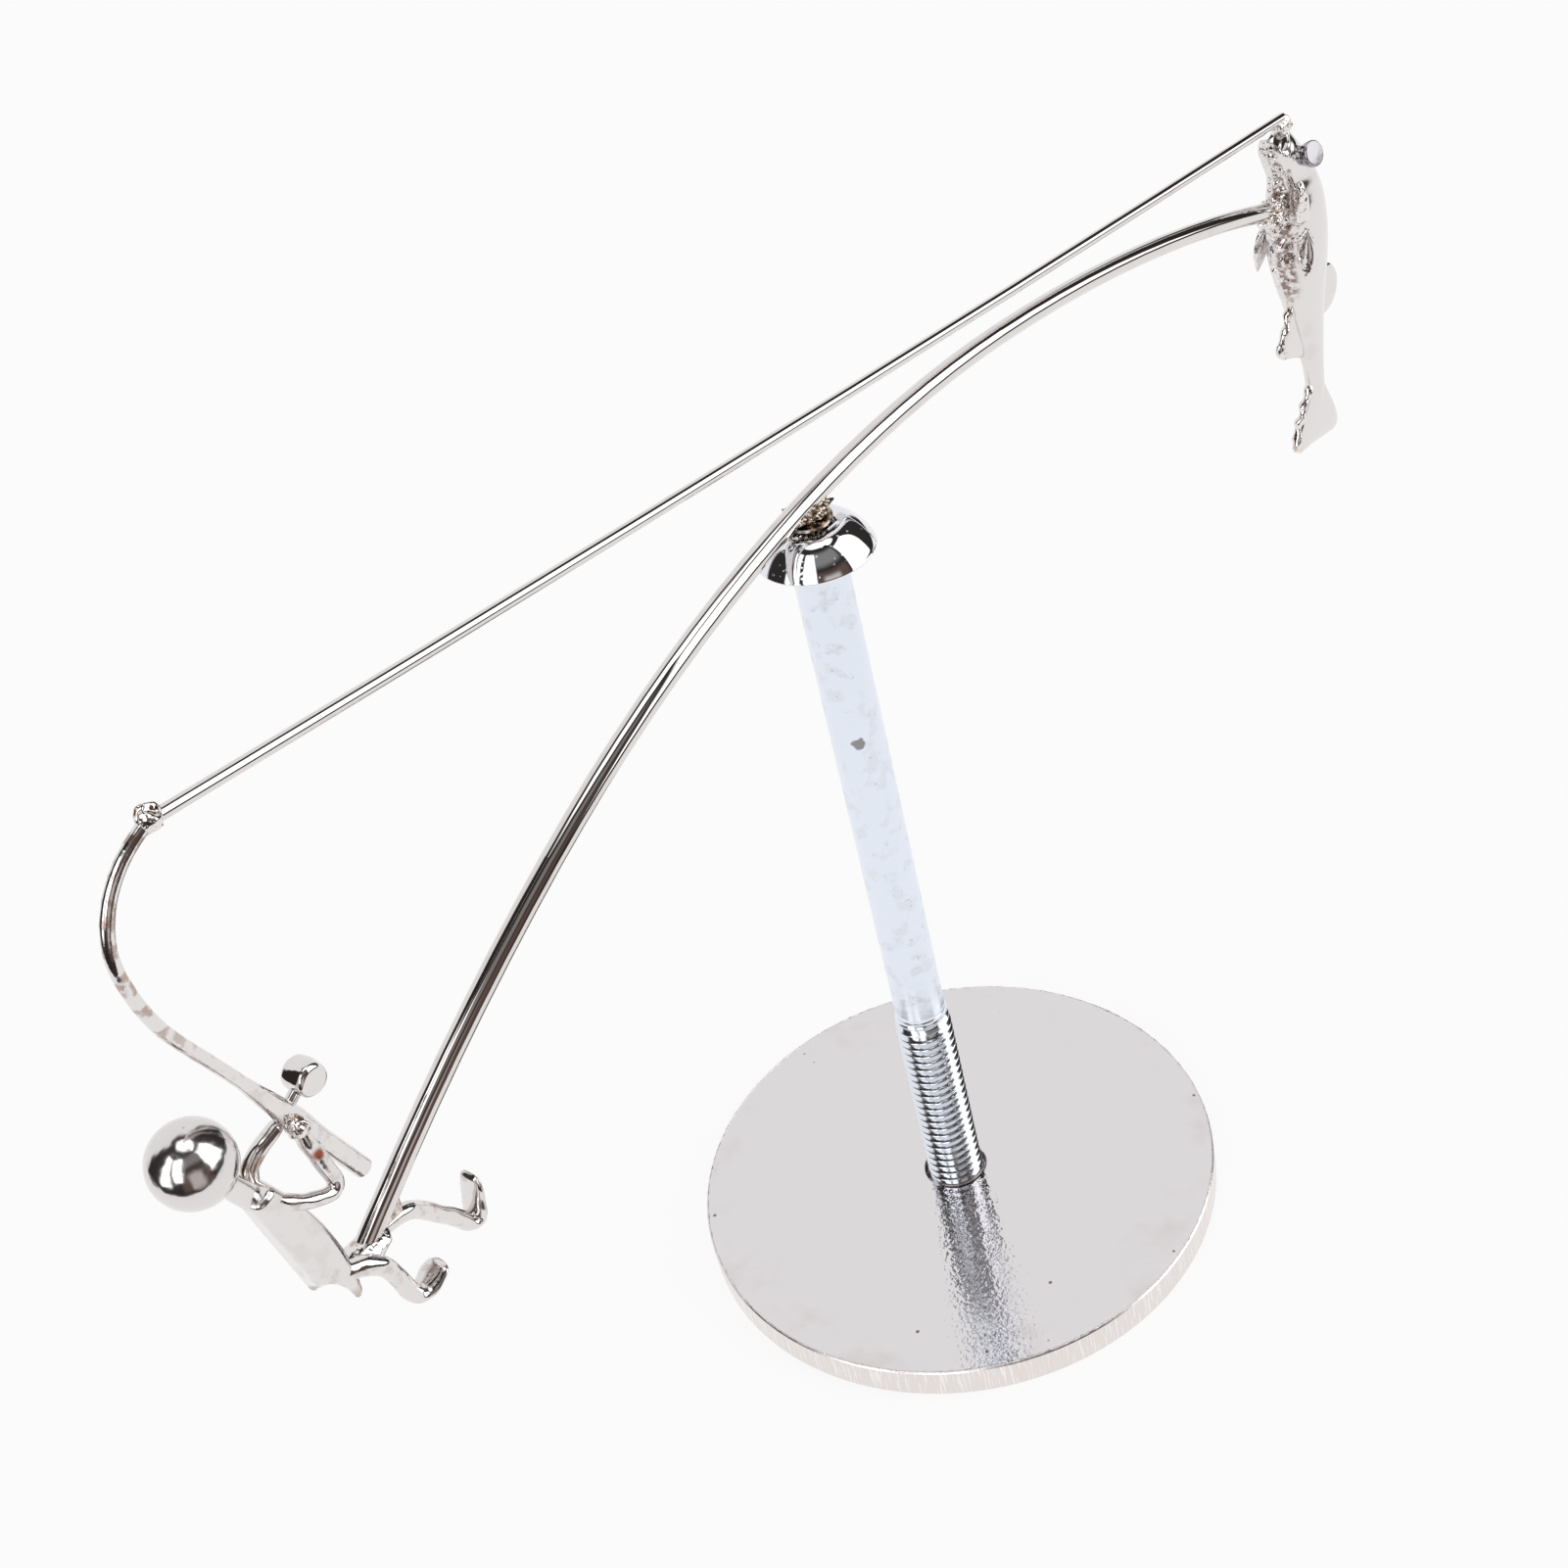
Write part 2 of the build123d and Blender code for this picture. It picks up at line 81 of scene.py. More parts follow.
# ---- The studio ----
# A white sweep behind the toy, four soft boxes round the camera and one overhead, and the dark
# room between them. The plating shows all of it, so this is where its dark lines come from.

ROOM = (0.030, 0.026, 0.025, 1)
WOOD = (0.12, 0.08, 0.066, 1)
BENCH = (0.56, 0.52, 0.51, 1)
SWEEP = (0.93, 0.93, 0.945, 1)
LAMP = (2.1, 2.1, 2.1, 1)
GLEAM = (0.24, 0.23, 0.225, 1)
WHITE = (1, 1, 1, 1)
# Each: colour, its middle to the right of the camera's heading, half its width, its lowest and
# highest elevation and how softly it ends, all in degrees.
PANELS = (
    (WOOD, 164, 34, -22, 27, 5),
    (GLEAM, 168, 36, 36, 60, 6),
    (BENCH, 163, 15, -22, 19, 5),
    (SWEEP, -21, 51, -90, 60, 3),
    (LAMP, 100, 25, 0, 56, 2),
    (LAMP, -156, 12, 4, 58, 2.5),
    (LAMP, -123, 12.5, -6, 58, 2.5),
    (LAMP, 76, 46, 66.5, 90, 2),
    (LAMP, 0, 180, 75, 90, 3),
)


class Value:
    """An output of a shader node. Sums, products and powers of it add Math nodes."""

    def __init__(self, net, socket):
        self.net, self.socket = net, socket

    def math(self, operation, *terms):
        return self.net.add("ShaderNodeMath", {"operation": operation}, dict(enumerate(terms)))

    def __add__(self, other):
        return self.math("ADD", self, other)

    def __sub__(self, other):
        return self.math("SUBTRACT", self, other)

    def __rsub__(self, other):
        return self.math("SUBTRACT", other, self)

    def __mul__(self, other):
        return self.math("MULTIPLY", self, other)

    def __truediv__(self, other):
        return self.math("DIVIDE", self, other)

    def __pow__(self, other):
        return self.math("POWER", self, other)

    __radd__, __rmul__ = __add__, __mul__

    def step(self, low, high):
        """Rises smoothly from 0 at low to 1 at high; low may be the larger."""
        return self.net.add(
            "ShaderNodeMapRange",
            {"interpolation_type": "SMOOTHSTEP"},
            {"Value": self, "From Min": low, "From Max": high},
        )


class Net:
    """The shader nodes of one material, or of the world."""

    def __init__(self, owner):
        owner.use_nodes = True
        self.owner, self.tree = owner, owner.node_tree
        self.tree.nodes.clear()

    def add(self, kind, settings=None, inputs=None, output=0):
        """Adds a node, sets its settings, then gives each named input a value or a link."""
        node = self.tree.nodes.new(kind)
        for key, value in (settings or {}).items():
            if key == "stops":
                ramp = node.color_ramp
                while len(ramp.elements) < len(value):
                    ramp.elements.new(1)
                for element, (place, colour) in zip(ramp.elements, value):
                    element.position, element.color = place, colour
            else:
                setattr(node, key, value)
        for key, value in (inputs or {}).items():
            if isinstance(value, Value):
                self.tree.links.new(value.socket, node.inputs[key])
            else:
                node.inputs[key].default_value = value
        return Value(self, node.outputs[output] if node.outputs else None)

    def mix(self, factor, a, b):
        """A colour that goes from a to b as factor goes from 0 to 1."""
        return self.add("ShaderNodeMix", {"data_type": "RGBA"}, {0: factor, 6: a, 7: b}, 2)

    def xyz(self, vector):
        """The three numbers of a vector."""
        x = self.add("ShaderNodeSeparateXYZ", None, {0: vector})
        return x, *(Value(self, x.socket.node.outputs[i]) for i in (1, 2))

    def ray(self, *kinds):
        """1 for rays of these kinds and 0 for others."""
        path = self.add("ShaderNodeLightPath")
        rays = [Value(self, path.socket.node.outputs[f"Is {kind} Ray"]) for kind in kinds]
        return sum(rays[1:], rays[0])


def light_the_room():
    """The world: each panel is a soft-edged patch in heading and elevation. Eyes see white."""
    bpy.context.scene.world = bpy.data.worlds.new("studio")
    net = Net(bpy.context.scene.world)
    x, y, z = net.xyz(net.add("ShaderNodeTexCoord"))
    level = (x * x + y * y) ** 0.5
    elevation = z.math("ARCSINE", z)
    colour = ROOM
    for paint, right, half_width, low, high, soft in PANELS:
        heading = radians(CAMERA_HEADING - right)
        away = (x * cos(heading) + y * sin(heading)) / level
        away = away.math("ARCCOSINE", away)
        inside = elevation.step(radians(high + soft), radians(high - soft))
        if half_width < 180:
            inside = inside * away.step(radians(half_width + soft), radians(half_width - soft))
        if low > -90:
            inside = inside * elevation.step(radians(low - soft), radians(low + soft))
        colour = net.mix(inside, colour, paint)
    colour = net.mix(net.ray("Camera"), colour, WHITE)
    background = net.add("ShaderNodeBackground", None, {"Color": colour, "Strength": 1.0})
    net.add("ShaderNodeOutputWorld", None, {"Surface": background})


light_the_room()


# ---- The table ----
# A plain white board under the toy. It runs a long way back and ends just before the camera.

TABLE_R = 0.60
TABLE_BACK = 0.42
TABLE_SIDES = 96
TABLE_WHITE = (0.92, 0.92, 0.92, 1)
TABLE_GLOW = 0.86
MERGE = 1e-7


def surface(name, points, loop=(False, False)):
    """A smooth mesh over a grid of points, each row joined to the next and each point to its
    neighbour; loop closes the grid's rows or columns on themselves. Poles are merged."""
    rows, columns = points.shape[:2]
    index = np.arange(rows * columns).reshape(rows, columns)
    if loop[0]:
        index = np.vstack([index, index[:1]])
    if loop[1]:
        index = np.hstack([index, index[:, :1]])
    corners = (index[:-1, :-1], index[:-1, 1:], index[1:, 1:], index[1:, :-1])
    faces = np.stack(corners, -1).reshape(-1, 4)
    mesh = bpy.data.meshes.new(name)
    mesh.from_pydata(points.reshape(-1, 3).tolist(), [], faces.tolist())
    form = bmesh.new()
    form.from_mesh(mesh)
    bmesh.ops.remove_doubles(form, verts=form.verts, dist=MERGE)
    bmesh.ops.recalc_face_normals(form, faces=form.faces)
    form.to_mesh(mesh)
    form.free()
    mesh.shade_smooth()
    piece = bpy.data.objects.new(name, mesh)
    bpy.context.scene.collection.objects.link(piece)
    return piece


def table():
    """A flat disc of rings round its middle."""
    turn = np.linspace(0, 2 * pi, TABLE_SIDES, endpoint=False)
    reach = np.array([0.0001, 0.3, 1.0])[:, None] * TABLE_R
    middle = radians(CAMERA_HEADING)
    points = np.zeros((3, TABLE_SIDES, 3))
    points[..., 0] = TABLE_BACK * cos(middle) + reach * np.cos(turn)
    points[..., 1] = TABLE_BACK * sin(middle) + reach * np.sin(turn)
    board = surface("table", points[::-1], (False, True))
    net = Net(bpy.data.materials.new("table_white"))
    board.data.materials.append(net.owner)
    seen = net.ray("Camera", "Glossy", "Transmission") * TABLE_GLOW
    paint = net.add("ShaderNodeBsdfDiffuse", None, {"Color": TABLE_WHITE})
    glow = net.add("ShaderNodeEmission", None, {"Color": WHITE, "Strength": 1.0})
    mixed = net.add("ShaderNodeMixShader", None, {0: seen, 1: paint, 2: glow})
    net.add("ShaderNodeOutputMaterial", None, {"Surface": mixed})


table()


# ---- The base ----
# A turned disc of nickel-plated steel. Its top is bright with a fine grain that breaks up the
# post's reflection, its edge is turned in fine upright lines, and the plating is stained in places.

MM = 0.001
BASE_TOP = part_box("base_disc")[1].z / MM
BASE_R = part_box("base_disc")[1].x / MM
BASE_COLOUR = (0.765, 0.738, 0.742, 1)
BASE_STAIN = (0.64, 0.575, 0.535, 1)
BASE_EDGE_COLOUR = (0.80, 0.745, 0.725, 1)
BASE_PIT = (0.25, 0.20, 0.16, 1)
GRAIN = 0.42
GRAIN_DEPTH = 0.026


class Plating(Net):
    """The nodes of one metal finish. Lengths in it are millimetres in the model's own frame."""

    def __init__(self, name):
        super().__init__(bpy.data.materials.new(name))
        here = self.add("ShaderNodeTexCoord", output="Object")
        self.here = self.stretch(here, (1 / MM,) * 3)

    def stretch(self, vector, by):
        """A vector with its parts multiplied."""
        return self.add("ShaderNodeVectorMath", {"operation": "MULTIPLY"}, {0: vector, 1: by})

    def noise(self, size, detail=2.0, where=None):
        """Cloudy noise, about 0.5, with lumps of one size."""
        vector = self.here if where is None else where
        ports = {"Vector": vector, "Scale": 1 / size, "Detail": detail}
        return self.add("ShaderNodeTexNoise", None, ports)

    def specks(self, size, share):
        """1 inside scattered round specks that cover about this share of their cells' width."""
        ports = {"Vector": self.here, "Scale": 1 / size}
        return self.add("ShaderNodeTexVoronoi", None, ports).step(share, share * 0.6)

    def finish(self, colour, roughness, height=None, depth=0.0, metallic=1.0):
        """Ends in a metal of this colour, with bumps this deep in millimetres."""
        ports = {"Base Color": colour, "Roughness": roughness, "Metallic": metallic}
        if height is not None:
            bumps = {"Height": height, "Distance": depth * MM, "Strength": 1.0}
            ports["Normal"] = self.add("ShaderNodeBump", None, bumps)
        shader = self.add("ShaderNodeBsdfPrincipled", None, ports)
        self.add("ShaderNodeOutputMaterial", None, {"Surface": shader})
        return self.owner


def dress(node, material):
    """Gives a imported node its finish."""
    nodes[node].data.materials.clear()
    nodes[node].data.materials.append(material)


def base_finish():
    """Bright grained top, lined edge, cloudy stains towards the rim and a few dark pits."""
    plate = Plating("base_plate")
    x, y, z = plate.xyz(plate.here)
    out = (x * x + y * y) ** 0.5
    edge = out.step(BASE_R - 0.35, BASE_R - 0.15)
    turn = y.math("ARCTAN2", y, x) * BASE_R
    lines = plate.add("ShaderNodeCombineXYZ", None, {0: turn * 5.0, 1: z * 0.25, 2: 0.0})
    lined = plate.noise(1.0, 3.0, lines)
    cloud = plate.noise(6.5, 4.0) * out.step(BASE_R - 19, BASE_R)
    stain = cloud.step(0.48, 0.70) * 0.40
    colour = plate.mix(stain, BASE_COLOUR, BASE_STAIN)
    colour = plate.mix(plate.specks(5.2, 0.05), colour, BASE_PIT)
    worn = plate.mix(lined.step(0.50, 0.72) * 0.7, BASE_EDGE_COLOUR, WHITE)
    colour = plate.mix(edge, colour, worn)
    grain = plate.noise(GRAIN, 1.0)
    height = grain * (1 - edge) + lined * edge * 0.3
    roughness = 0.045 + edge * 0.22 + stain * 0.12
    return plate.finish(colour, roughness, height, GRAIN_DEPTH)


dress("base_disc", base_finish())


# ---- The base's worked edges ----
# Turning leaves a thin bright burr round the top edge, and tapping raises a torn, dark lip
# round the hole.

RIM_BURR_R = BASE_R - 0.16
RIM_BURR_W = 0.075
LIP_R = 3.02
LIP_W = 0.11
BURR_SIDES = 720
BURR_ROUND = 10
LIP_COLOUR = (0.34, 0.30, 0.28, 1)


def lumps(points, size, seed, waves=24):
    """Smooth random bumps between about -1 and 1: sine waves of one length run over the points,
    each in its own random direction and phase, and are added up."""
    draw = np.random.default_rng(seed)
    ways = draw.normal(size=(waves, 3))
    ways *= 2 * pi / size / np.linalg.norm(ways, axis=1, keepdims=True)
    phase = draw.uniform(0, 2 * pi, waves)
    return np.sin(points @ ways.T + phase).sum(-1) / sqrt(waves)


def ragged_ring(name, radius, width, height, size, seed, least=0.15):
    """A ring with a round section, whose width and height change along it at random."""
    turn = np.linspace(0, 2 * pi, BURR_SIDES, endpoint=False)[:, None]
    around = np.linspace(0, 2 * pi, BURR_ROUND, endpoint=False)
    ring = np.stack([radius * np.cos(turn), radius * np.sin(turn), 0 * turn], -1)
    worn = 1 + 0.55 * lumps(ring, size, seed)
    worn = np.clip(worn, least, 1.9)
    out = radius + width * worn * np.cos(around)
    points = np.stack([out * np.cos(turn), out * np.sin(turn), 0 * out], -1)
    points[..., 2] = BASE_TOP + height * worn * (np.sin(around) - 0.4)
    return surface(name, points * MM, (True, True))


def put(piece, body, slot, material, *replaced):
    """Hands a finished piece to its body and its finish, and hides what it replaces. slot is not used.
    """
    piece.data.materials.append(material)
    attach(piece, body)
    if replaced:
        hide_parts(*replaced)
    return piece


def burr_finish(name, colour, rough):
    """Plating torn into small bright and dark facets."""
    plate = Plating(name)
    return plate.finish(colour, rough, plate.noise(0.16, 2.0), 0.05)


burr = ragged_ring("base_rim_burr", RIM_BURR_R, RIM_BURR_W, 0.06, 1.1, 3)
put(burr, "stand", "base_plate", burr_finish("burr_bright", BASE_COLOUR, 0.10))
lip = ragged_ring("base_hole_lip", LIP_R, LIP_W, 0.10, 4.5, 5, 0.02)
put(lip, "stand", "base_plate", burr_finish("burr_dark", LIP_COLOUR, 0.22))


# ---- The post ----
# A long button-head bolt in zinc: rolled thread, a duller shank as thick as the thread is at its
# pitch line, and a polished head with a hex socket drilled to a point. The arm stands in the point.

THREAD_R = 2.95
THREAD_DEPTH = 0.68
THREAD_PITCH = 1.0
THREAD_LOW, THREAD_HIGH = 0.6, 28.0
THREAD_FADE = 2.8
SHANK_R = 2.625
NECK_Z = 84.7
NECK_FILLET = 0.35
HEAD_R = 5.55
HEAD_H = 3.0
HEAD_RIM = 0.22
HEAD_FLAT_R = 2.9
SOCKET_HALF = 2.0
SOCKET_DEEP = 2.1
DRILL_R = 1.2
DRILL_HALF_ANGLE = 59.0
BOLT_SIDES = 120
THREAD_ROWS = 24
ZINC_SHANK = (0.80, 0.845, 0.93, 1)
ZINC_GREY = (0.66, 0.69, 0.71, 1)
ZINC_BRIGHT = (0.80, 0.83, 0.88, 1)
ZINC_CHIP = (0.20, 0.19, 0.18, 1)
HEAD_CHROME = (0.83, 0.845, 0.88, 1)
CHIP_AT = (-1.95, -1.76, 64.6)
SHARP = radians(60)


def bolt_rows():
    """The bolt's outline from its end to the point of its socket, as radius, height, how much
    of a hexagon it is (0 to 1) and how deep the thread is cut there (0 to 1)."""
    rows = [(0, 0, 0, 0), (THREAD_R - THREAD_DEPTH, 0, 0, 0)]
    count = int((THREAD_HIGH - THREAD_LOW) / THREAD_PITCH * THREAD_ROWS)
    for z in np.linspace(THREAD_LOW, THREAD_HIGH, count):
        fade = min(1, (THREAD_HIGH - z) / THREAD_FADE)
        rows.append((SHANK_R + (THREAD_R - SHANK_R) * fade ** 0.7, z, 0, fade))
    rows += [(SHANK_R, z, 0, 0) for z in np.linspace(THREAD_HIGH + 0.3, NECK_Z - NECK_FILLET, 40)]
    for turn in np.linspace(0, pi / 2, 6):
        flare = NECK_FILLET * (1 - cos(turn))
        rows.append((SHANK_R + flare, NECK_Z - NECK_FILLET * (1 - sin(turn)), 0, 0))
    top, rim = NECK_Z + HEAD_H, NECK_Z + HEAD_RIM
    rows += [(HEAD_R - 0.12, NECK_Z, 0, 0), (HEAD_R, NECK_Z + 0.1, 0, 0), (HEAD_R, rim, 0, 0)]
    rows += [(HEAD_R - 0.012, rim + 0.013, 0, 0)]
    for t in np.linspace(0, 1, 28)[1:]:
        a, b, c, d = (1 - t) ** 3, 3 * t * (1 - t) ** 2, 3 * t * t * (1 - t), t ** 3
        inner = HEAD_R - 0.64 * (HEAD_R - HEAD_FLAT_R)
        r = a * HEAD_R + b * (HEAD_R - 0.44) + c * inner + d * HEAD_FLAT_R
        rows.append((r, a * rim + b * (rim + 1.15) + (c + d) * top, 0, 0))
    rows += [(SOCKET_HALF + 0.10, top, 1, 0), (SOCKET_HALF, top - 0.10, 1, 0)]
    rows += [(SOCKET_HALF, top - SOCKET_DEEP, 1, 0), (DRILL_R, top - SOCKET_DEEP, 0, 0)]
    point = DRILL_R / tan(radians(DRILL_HALF_ANGLE))
    rows += [(DRILL_R * s, top - SOCKET_DEEP - point * (1 - s), 0, 0) for s in (0.6, 0.3, 0)]
    return np.array(rows)


def bolt():
    """Radius at a turn: round, or the distance to a hexagon's flat over the cosine of the turn
    from its middle. The thread is a wave of height less turn, cut inwards from the crest."""
    rows = bolt_rows()
    radius, z, hexed, cut = (rows[:, k : k + 1] for k in range(4))
    turn = np.linspace(0, 2 * pi, BOLT_SIDES, endpoint=False)
    flat = 1 / np.cos(np.mod(turn, pi / 3) - pi / 6)
    out = radius * (1 + hexed * (flat - 1))
    wave = np.abs(np.mod(z / THREAD_PITCH - turn / (2 * pi), 1) - 0.5) * 2
    groove = np.clip((wave - 0.10) / 0.80, 0, 1)
    out = out - cut * THREAD_DEPTH * groove
    points = np.stack([out * np.cos(turn), out * np.sin(turn), z + 0 * turn], -1)
    piece = surface("bolt", points * MM, (False, True))
    piece.data.set_sharp_from_angle(angle=SHARP)
    return piece


def bolt_finish():
    """Zinc: dull and bluish on the shank with grey scale, bright on the thread and the head."""
    zinc = Plating("bolt_zinc")
    x, y, z = zinc.xyz(zinc.here)
    head = z.step(NECK_Z - 0.25, NECK_Z)
    thread = z.step(THREAD_HIGH + 0.3, THREAD_HIGH - THREAD_FADE)
    scale = zinc.noise(1.6, 5.0).step(0.50, 0.63)
    fleck = zinc.noise(0.42, 3.0).step(0.60, 0.70)
    colour = zinc.mix(scale * 0.20, ZINC_SHANK, ZINC_GREY)
    colour = zinc.mix(fleck * scale * 0.25, colour, ZINC_CHIP)
    gap = zinc.add("ShaderNodeVectorMath", {"operation": "SUBTRACT"}, {0: zinc.here, 1: CHIP_AT})
    far = zinc.add("ShaderNodeVectorMath", {"operation": "LENGTH"}, {0: gap}, "Value")
    chip = (far + zinc.noise(0.7, 2.0) * 0.9).step(1.15, 0.95)
    colour = zinc.mix(chip * 0.85, colour, ZINC_CHIP)
    colour = zinc.mix(thread, colour, ZINC_BRIGHT)
    colour = zinc.mix(head, colour, HEAD_CHROME)
    spots = zinc.specks(0.55, 0.26) * head
    colour = zinc.mix(spots, colour, WHITE)
    roughness = (0.17 + scale * 0.10) * (1 - head) * (1 - thread) + thread * 0.13 + head * 0.035
    height = zinc.noise(0.8, 3.0) * (1 - head) + zinc.noise(1.3, 1.0) * head * 0.5
    return zinc.finish(colour, roughness + spots * 0.3, height, 0.012)


put(bolt(), "stand", "bolt_zinc", bolt_finish(), "post_bolt")


# ---- The pivot ----
# A hard steel ball in the socket's point, and over it a stepped pin on a thin plate. Rough brown
# solder holds the plate under the arm and climbs the wire on both sides.

PIN_COLOUR = (0.62, 0.53, 0.45, 1)
BRAZE_LIGHT = (0.80, 0.70, 0.58, 1)
BRAZE_DARK = (0.10, 0.065, 0.045, 1)
STEEL = (0.62, 0.62, 0.63, 1)
DROP_ROWS, DROP_SIDES = 40, 56


def ball_grid():
    """Directions over a whole ball, in rows from its lowest to its highest point."""
    rise = np.linspace(-pi / 2, pi / 2, DROP_ROWS)[:, None]
    turn = np.linspace(0, 2 * pi, DROP_SIDES, endpoint=False)
    level = np.cos(rise)
    return np.stack([level * np.cos(turn), level * np.sin(turn), np.sin(rise) + 0 * turn], -1)


def drop(name, middle, reach, size, rough, seed):
    """A lump of solder: a ball stretched to three half-axes, its surface pushed in and out."""
    ways = ball_grid()
    out = 1 + rough * lumps(ways * reach, size, seed)
    out += 0.5 * rough * lumps(ways * reach, size * 0.45, seed + 1)
    points = np.array(middle) / MM + ways * reach * out[..., None]
    return surface(name, points * MM, (False, True))


def middle(node):
    """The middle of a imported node's box."""
    low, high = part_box(node)
    return (low + high) / 2


def braze_finish(name, light, dark, share=0.5, grain=0.35, depth=0.10):
    """Solder with flux left in its hollows: bright tops, brown pits, small round bumps."""
    braze = Plating(name)
    pits = braze.noise(grain, 3.0)
    colour = braze.mix(pits.step(share + 0.08, share - 0.08), light, dark)
    return braze.finish(colour, 0.12 + pits * 0.12, pits, depth)


def steel_finish():
    """Hard bright steel with a faint cloud."""
    steel = Plating("ball_steel")
    return steel.finish(STEEL, 0.08 + steel.noise(0.5) * 0.06)


def pin_finish():
    """Plating gone brown from the flame."""
    pin = Plating("pin_plate")
    burnt = pin.noise(0.9, 3.0).step(0.42, 0.60)
    colour = pin.mix(burnt * 0.8, PIN_COLOUR, BRAZE_DARK)
    return pin.finish(colour, 0.16 + burnt * 0.12, pin.noise(0.4), 0.03)


dress("pivot_ball", steel_finish())
dress("pivot_pin", pin_finish())
brown_braze = braze_finish("solder_brown", BRAZE_LIGHT, BRAZE_DARK)
solder = drop("pivot_braze", middle("pivot_solder"), (2.25, 1.75, 0.72), 0.9, 0.13, 11)
put(solder, "beam", "solder_nickel", brown_braze, "pivot_solder")


# ---- The balance arm and the line ----
# The arm is one round steel wire, bent and plated, and the line is a thinner one. Drawing the
# wire leaves faint lines along it, which pull its reflections out into long thin stripes.

WIRE_COLOUR = (0.745, 0.715, 0.70, 1)
WIRE_BROWN = (0.55, 0.47, 0.42, 1)
WIRE_DEPTH = 0.0016


def wire_finish(name, brown):
    """Bright nickel with lengthways lines, a soft cloud and a little brown where it was soldered."""
    wire = Plating(name)
    along = wire.noise(1.0, 2.0, wire.stretch(wire.here, (0.12, 1.6, 0.5)))
    cloud = wire.noise(3.5, 3.0).step(0.55, 0.75)
    colour = wire.mix(cloud * brown, WIRE_COLOUR, WIRE_BROWN)
    return wire.finish(colour, 0.035 + cloud * 0.06, along, WIRE_DEPTH)


arm_nickel = wire_finish("wire_nickel", 0.35)
dress("balance_arm", arm_nickel)
dress("line_wire", arm_nickel)


# ---- The fisherman's body ----
# A bar of metal, flattened in front and behind, with its lower back corner filed away on a slant.
# Its nickel is satin rather than bright, browned towards the lap by the soldering, and its lowest end
# is darkened with painted shade.

LEAN = 10.1
HEAD_AT = (-2.0, 0.0, 21.1)
BODY_FINE = 0.11
SATIN = (0.77, 0.745, 0.735, 1)
SATIN_BROWN = (0.34, 0.25, 0.21, 1)


def through(stations, count):
    """A smooth run through a few stations: each part is a cubic whose end slopes follow the
    stations on either side of it. More points are set near the two ends."""
    p = np.array(stations, float)
    slope = np.gradient(p, axis=0)
    t = (0.5 - 0.5 * np.cos(np.linspace(0, pi, count))) * (len(p) - 1)
    i = np.minimum(t.astype(int), len(p) - 2)
    u = (t - i)[:, None]
    start = (2 * u ** 3 - 3 * u ** 2 + 1) * p[i] + (u ** 3 - 2 * u ** 2 + u) * slope[i]
    return start + (3 * u ** 2 - 2 * u ** 3) * p[i + 1] + (u ** 3 - u ** 2) * slope[i + 1]


FORWARD = np.array([cos(radians(LEAN)), 0, sin(radians(LEAN))])
UPWARD = np.array([-FORWARD[2], 0, FORWARD[0]])
HIS_AXES = np.array([FORWARD, (0, 1, 0), UPWARD])
HIS_ORIGIN = np.array(middle("head_ball")) / MM - np.array(HEAD_AT) @ HIS_AXES


def his(points):
    """From the fisherman's own frame (forwards, to his left, up his back) to the model's."""
    return np.asarray(points, float) @ HIS_AXES + HIS_ORIGIN


def rounded(turn, power):
    """A round-cornered outline: the cosine and sine of a turn, each drawn out by a power."""
    c, s = np.cos(turn), np.sin(turn)
    return np.sign(c) * np.abs(c) ** power, np.sign(s) * np.abs(s) ** power


def soften(node, fine, passes, out):
    """Worn edges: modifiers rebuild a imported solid's surface in even small faces, relax it and
    push it out again."""
    solid = nodes[node]
    even = solid.modifiers.new("even", "REMESH")
    even.mode, even.voxel_size = "VOXEL", fine * MM
    even.use_smooth_shade = True
    relax = solid.modifiers.new("relax", "SMOOTH")
    relax.factor, relax.iterations = 0.5, passes
    swell = solid.modifiers.new("swell", "DISPLACE")
    swell.mid_level, swell.strength = 0, out * MM


def body_finish():
    """Satin nickel with a soft cloud, brown smudges low down, and the filed end at the bottom darkened
    towards brown as painted shade.
    """
    satin = Plating("figure_nickel")
    x, y, z = satin.xyz(satin.here)
    lap = z.step(HIS_ORIGIN[2] + 5.0, HIS_ORIGIN[2] + 0.2)
    smudge = satin.noise(1.5, 4.0).step(0.50, 0.64) * (lap * 0.9 + 0.10)
    # Painted shade: the lowest part, the filed end, is darkened towards brown. This stands in for the
    # shade on that end as well as its own brown.
    end = z.step(HIS_ORIGIN[2] + 0.9, HIS_ORIGIN[2] - 0.3)
    colour = satin.mix(smudge * 0.75, SATIN, SATIN_BROWN)
    colour = satin.mix(end * 0.45, colour, SATIN_BROWN)
    wave = satin.noise(2.4, 2.0)
    return satin.finish(colour, 0.15 + smudge * 0.2, wave, 0.05)


soften("torso", BODY_FINE, 14, 0.28)
dress("torso", body_finish())


# ---- The head ----
# A plain polished ball on the neck, with no face. Its plating is the brightest on the toy.

HEAD_BRIGHT = (0.745, 0.715, 0.705, 1)


def head_finish():
    """Mirror nickel with a slight unevenness, and a few brown specks."""
    ball = Plating("head_nickel")
    speck = ball.specks(1.3, 0.08) * 0.6
    colour = ball.mix(speck, HEAD_BRIGHT, SATIN_BROWN)
    return ball.finish(colour, 0.15 + speck * 0.2, ball.noise(1.8, 2.0), 0.09)


dress("head_ball", head_finish())


# ---- His arms and legs ----
# Thin rods, bent at the elbows and knees. The hands and feet are the rods' ends beaten flat, and
# each foot is an oval spoon that stands up from the heel.

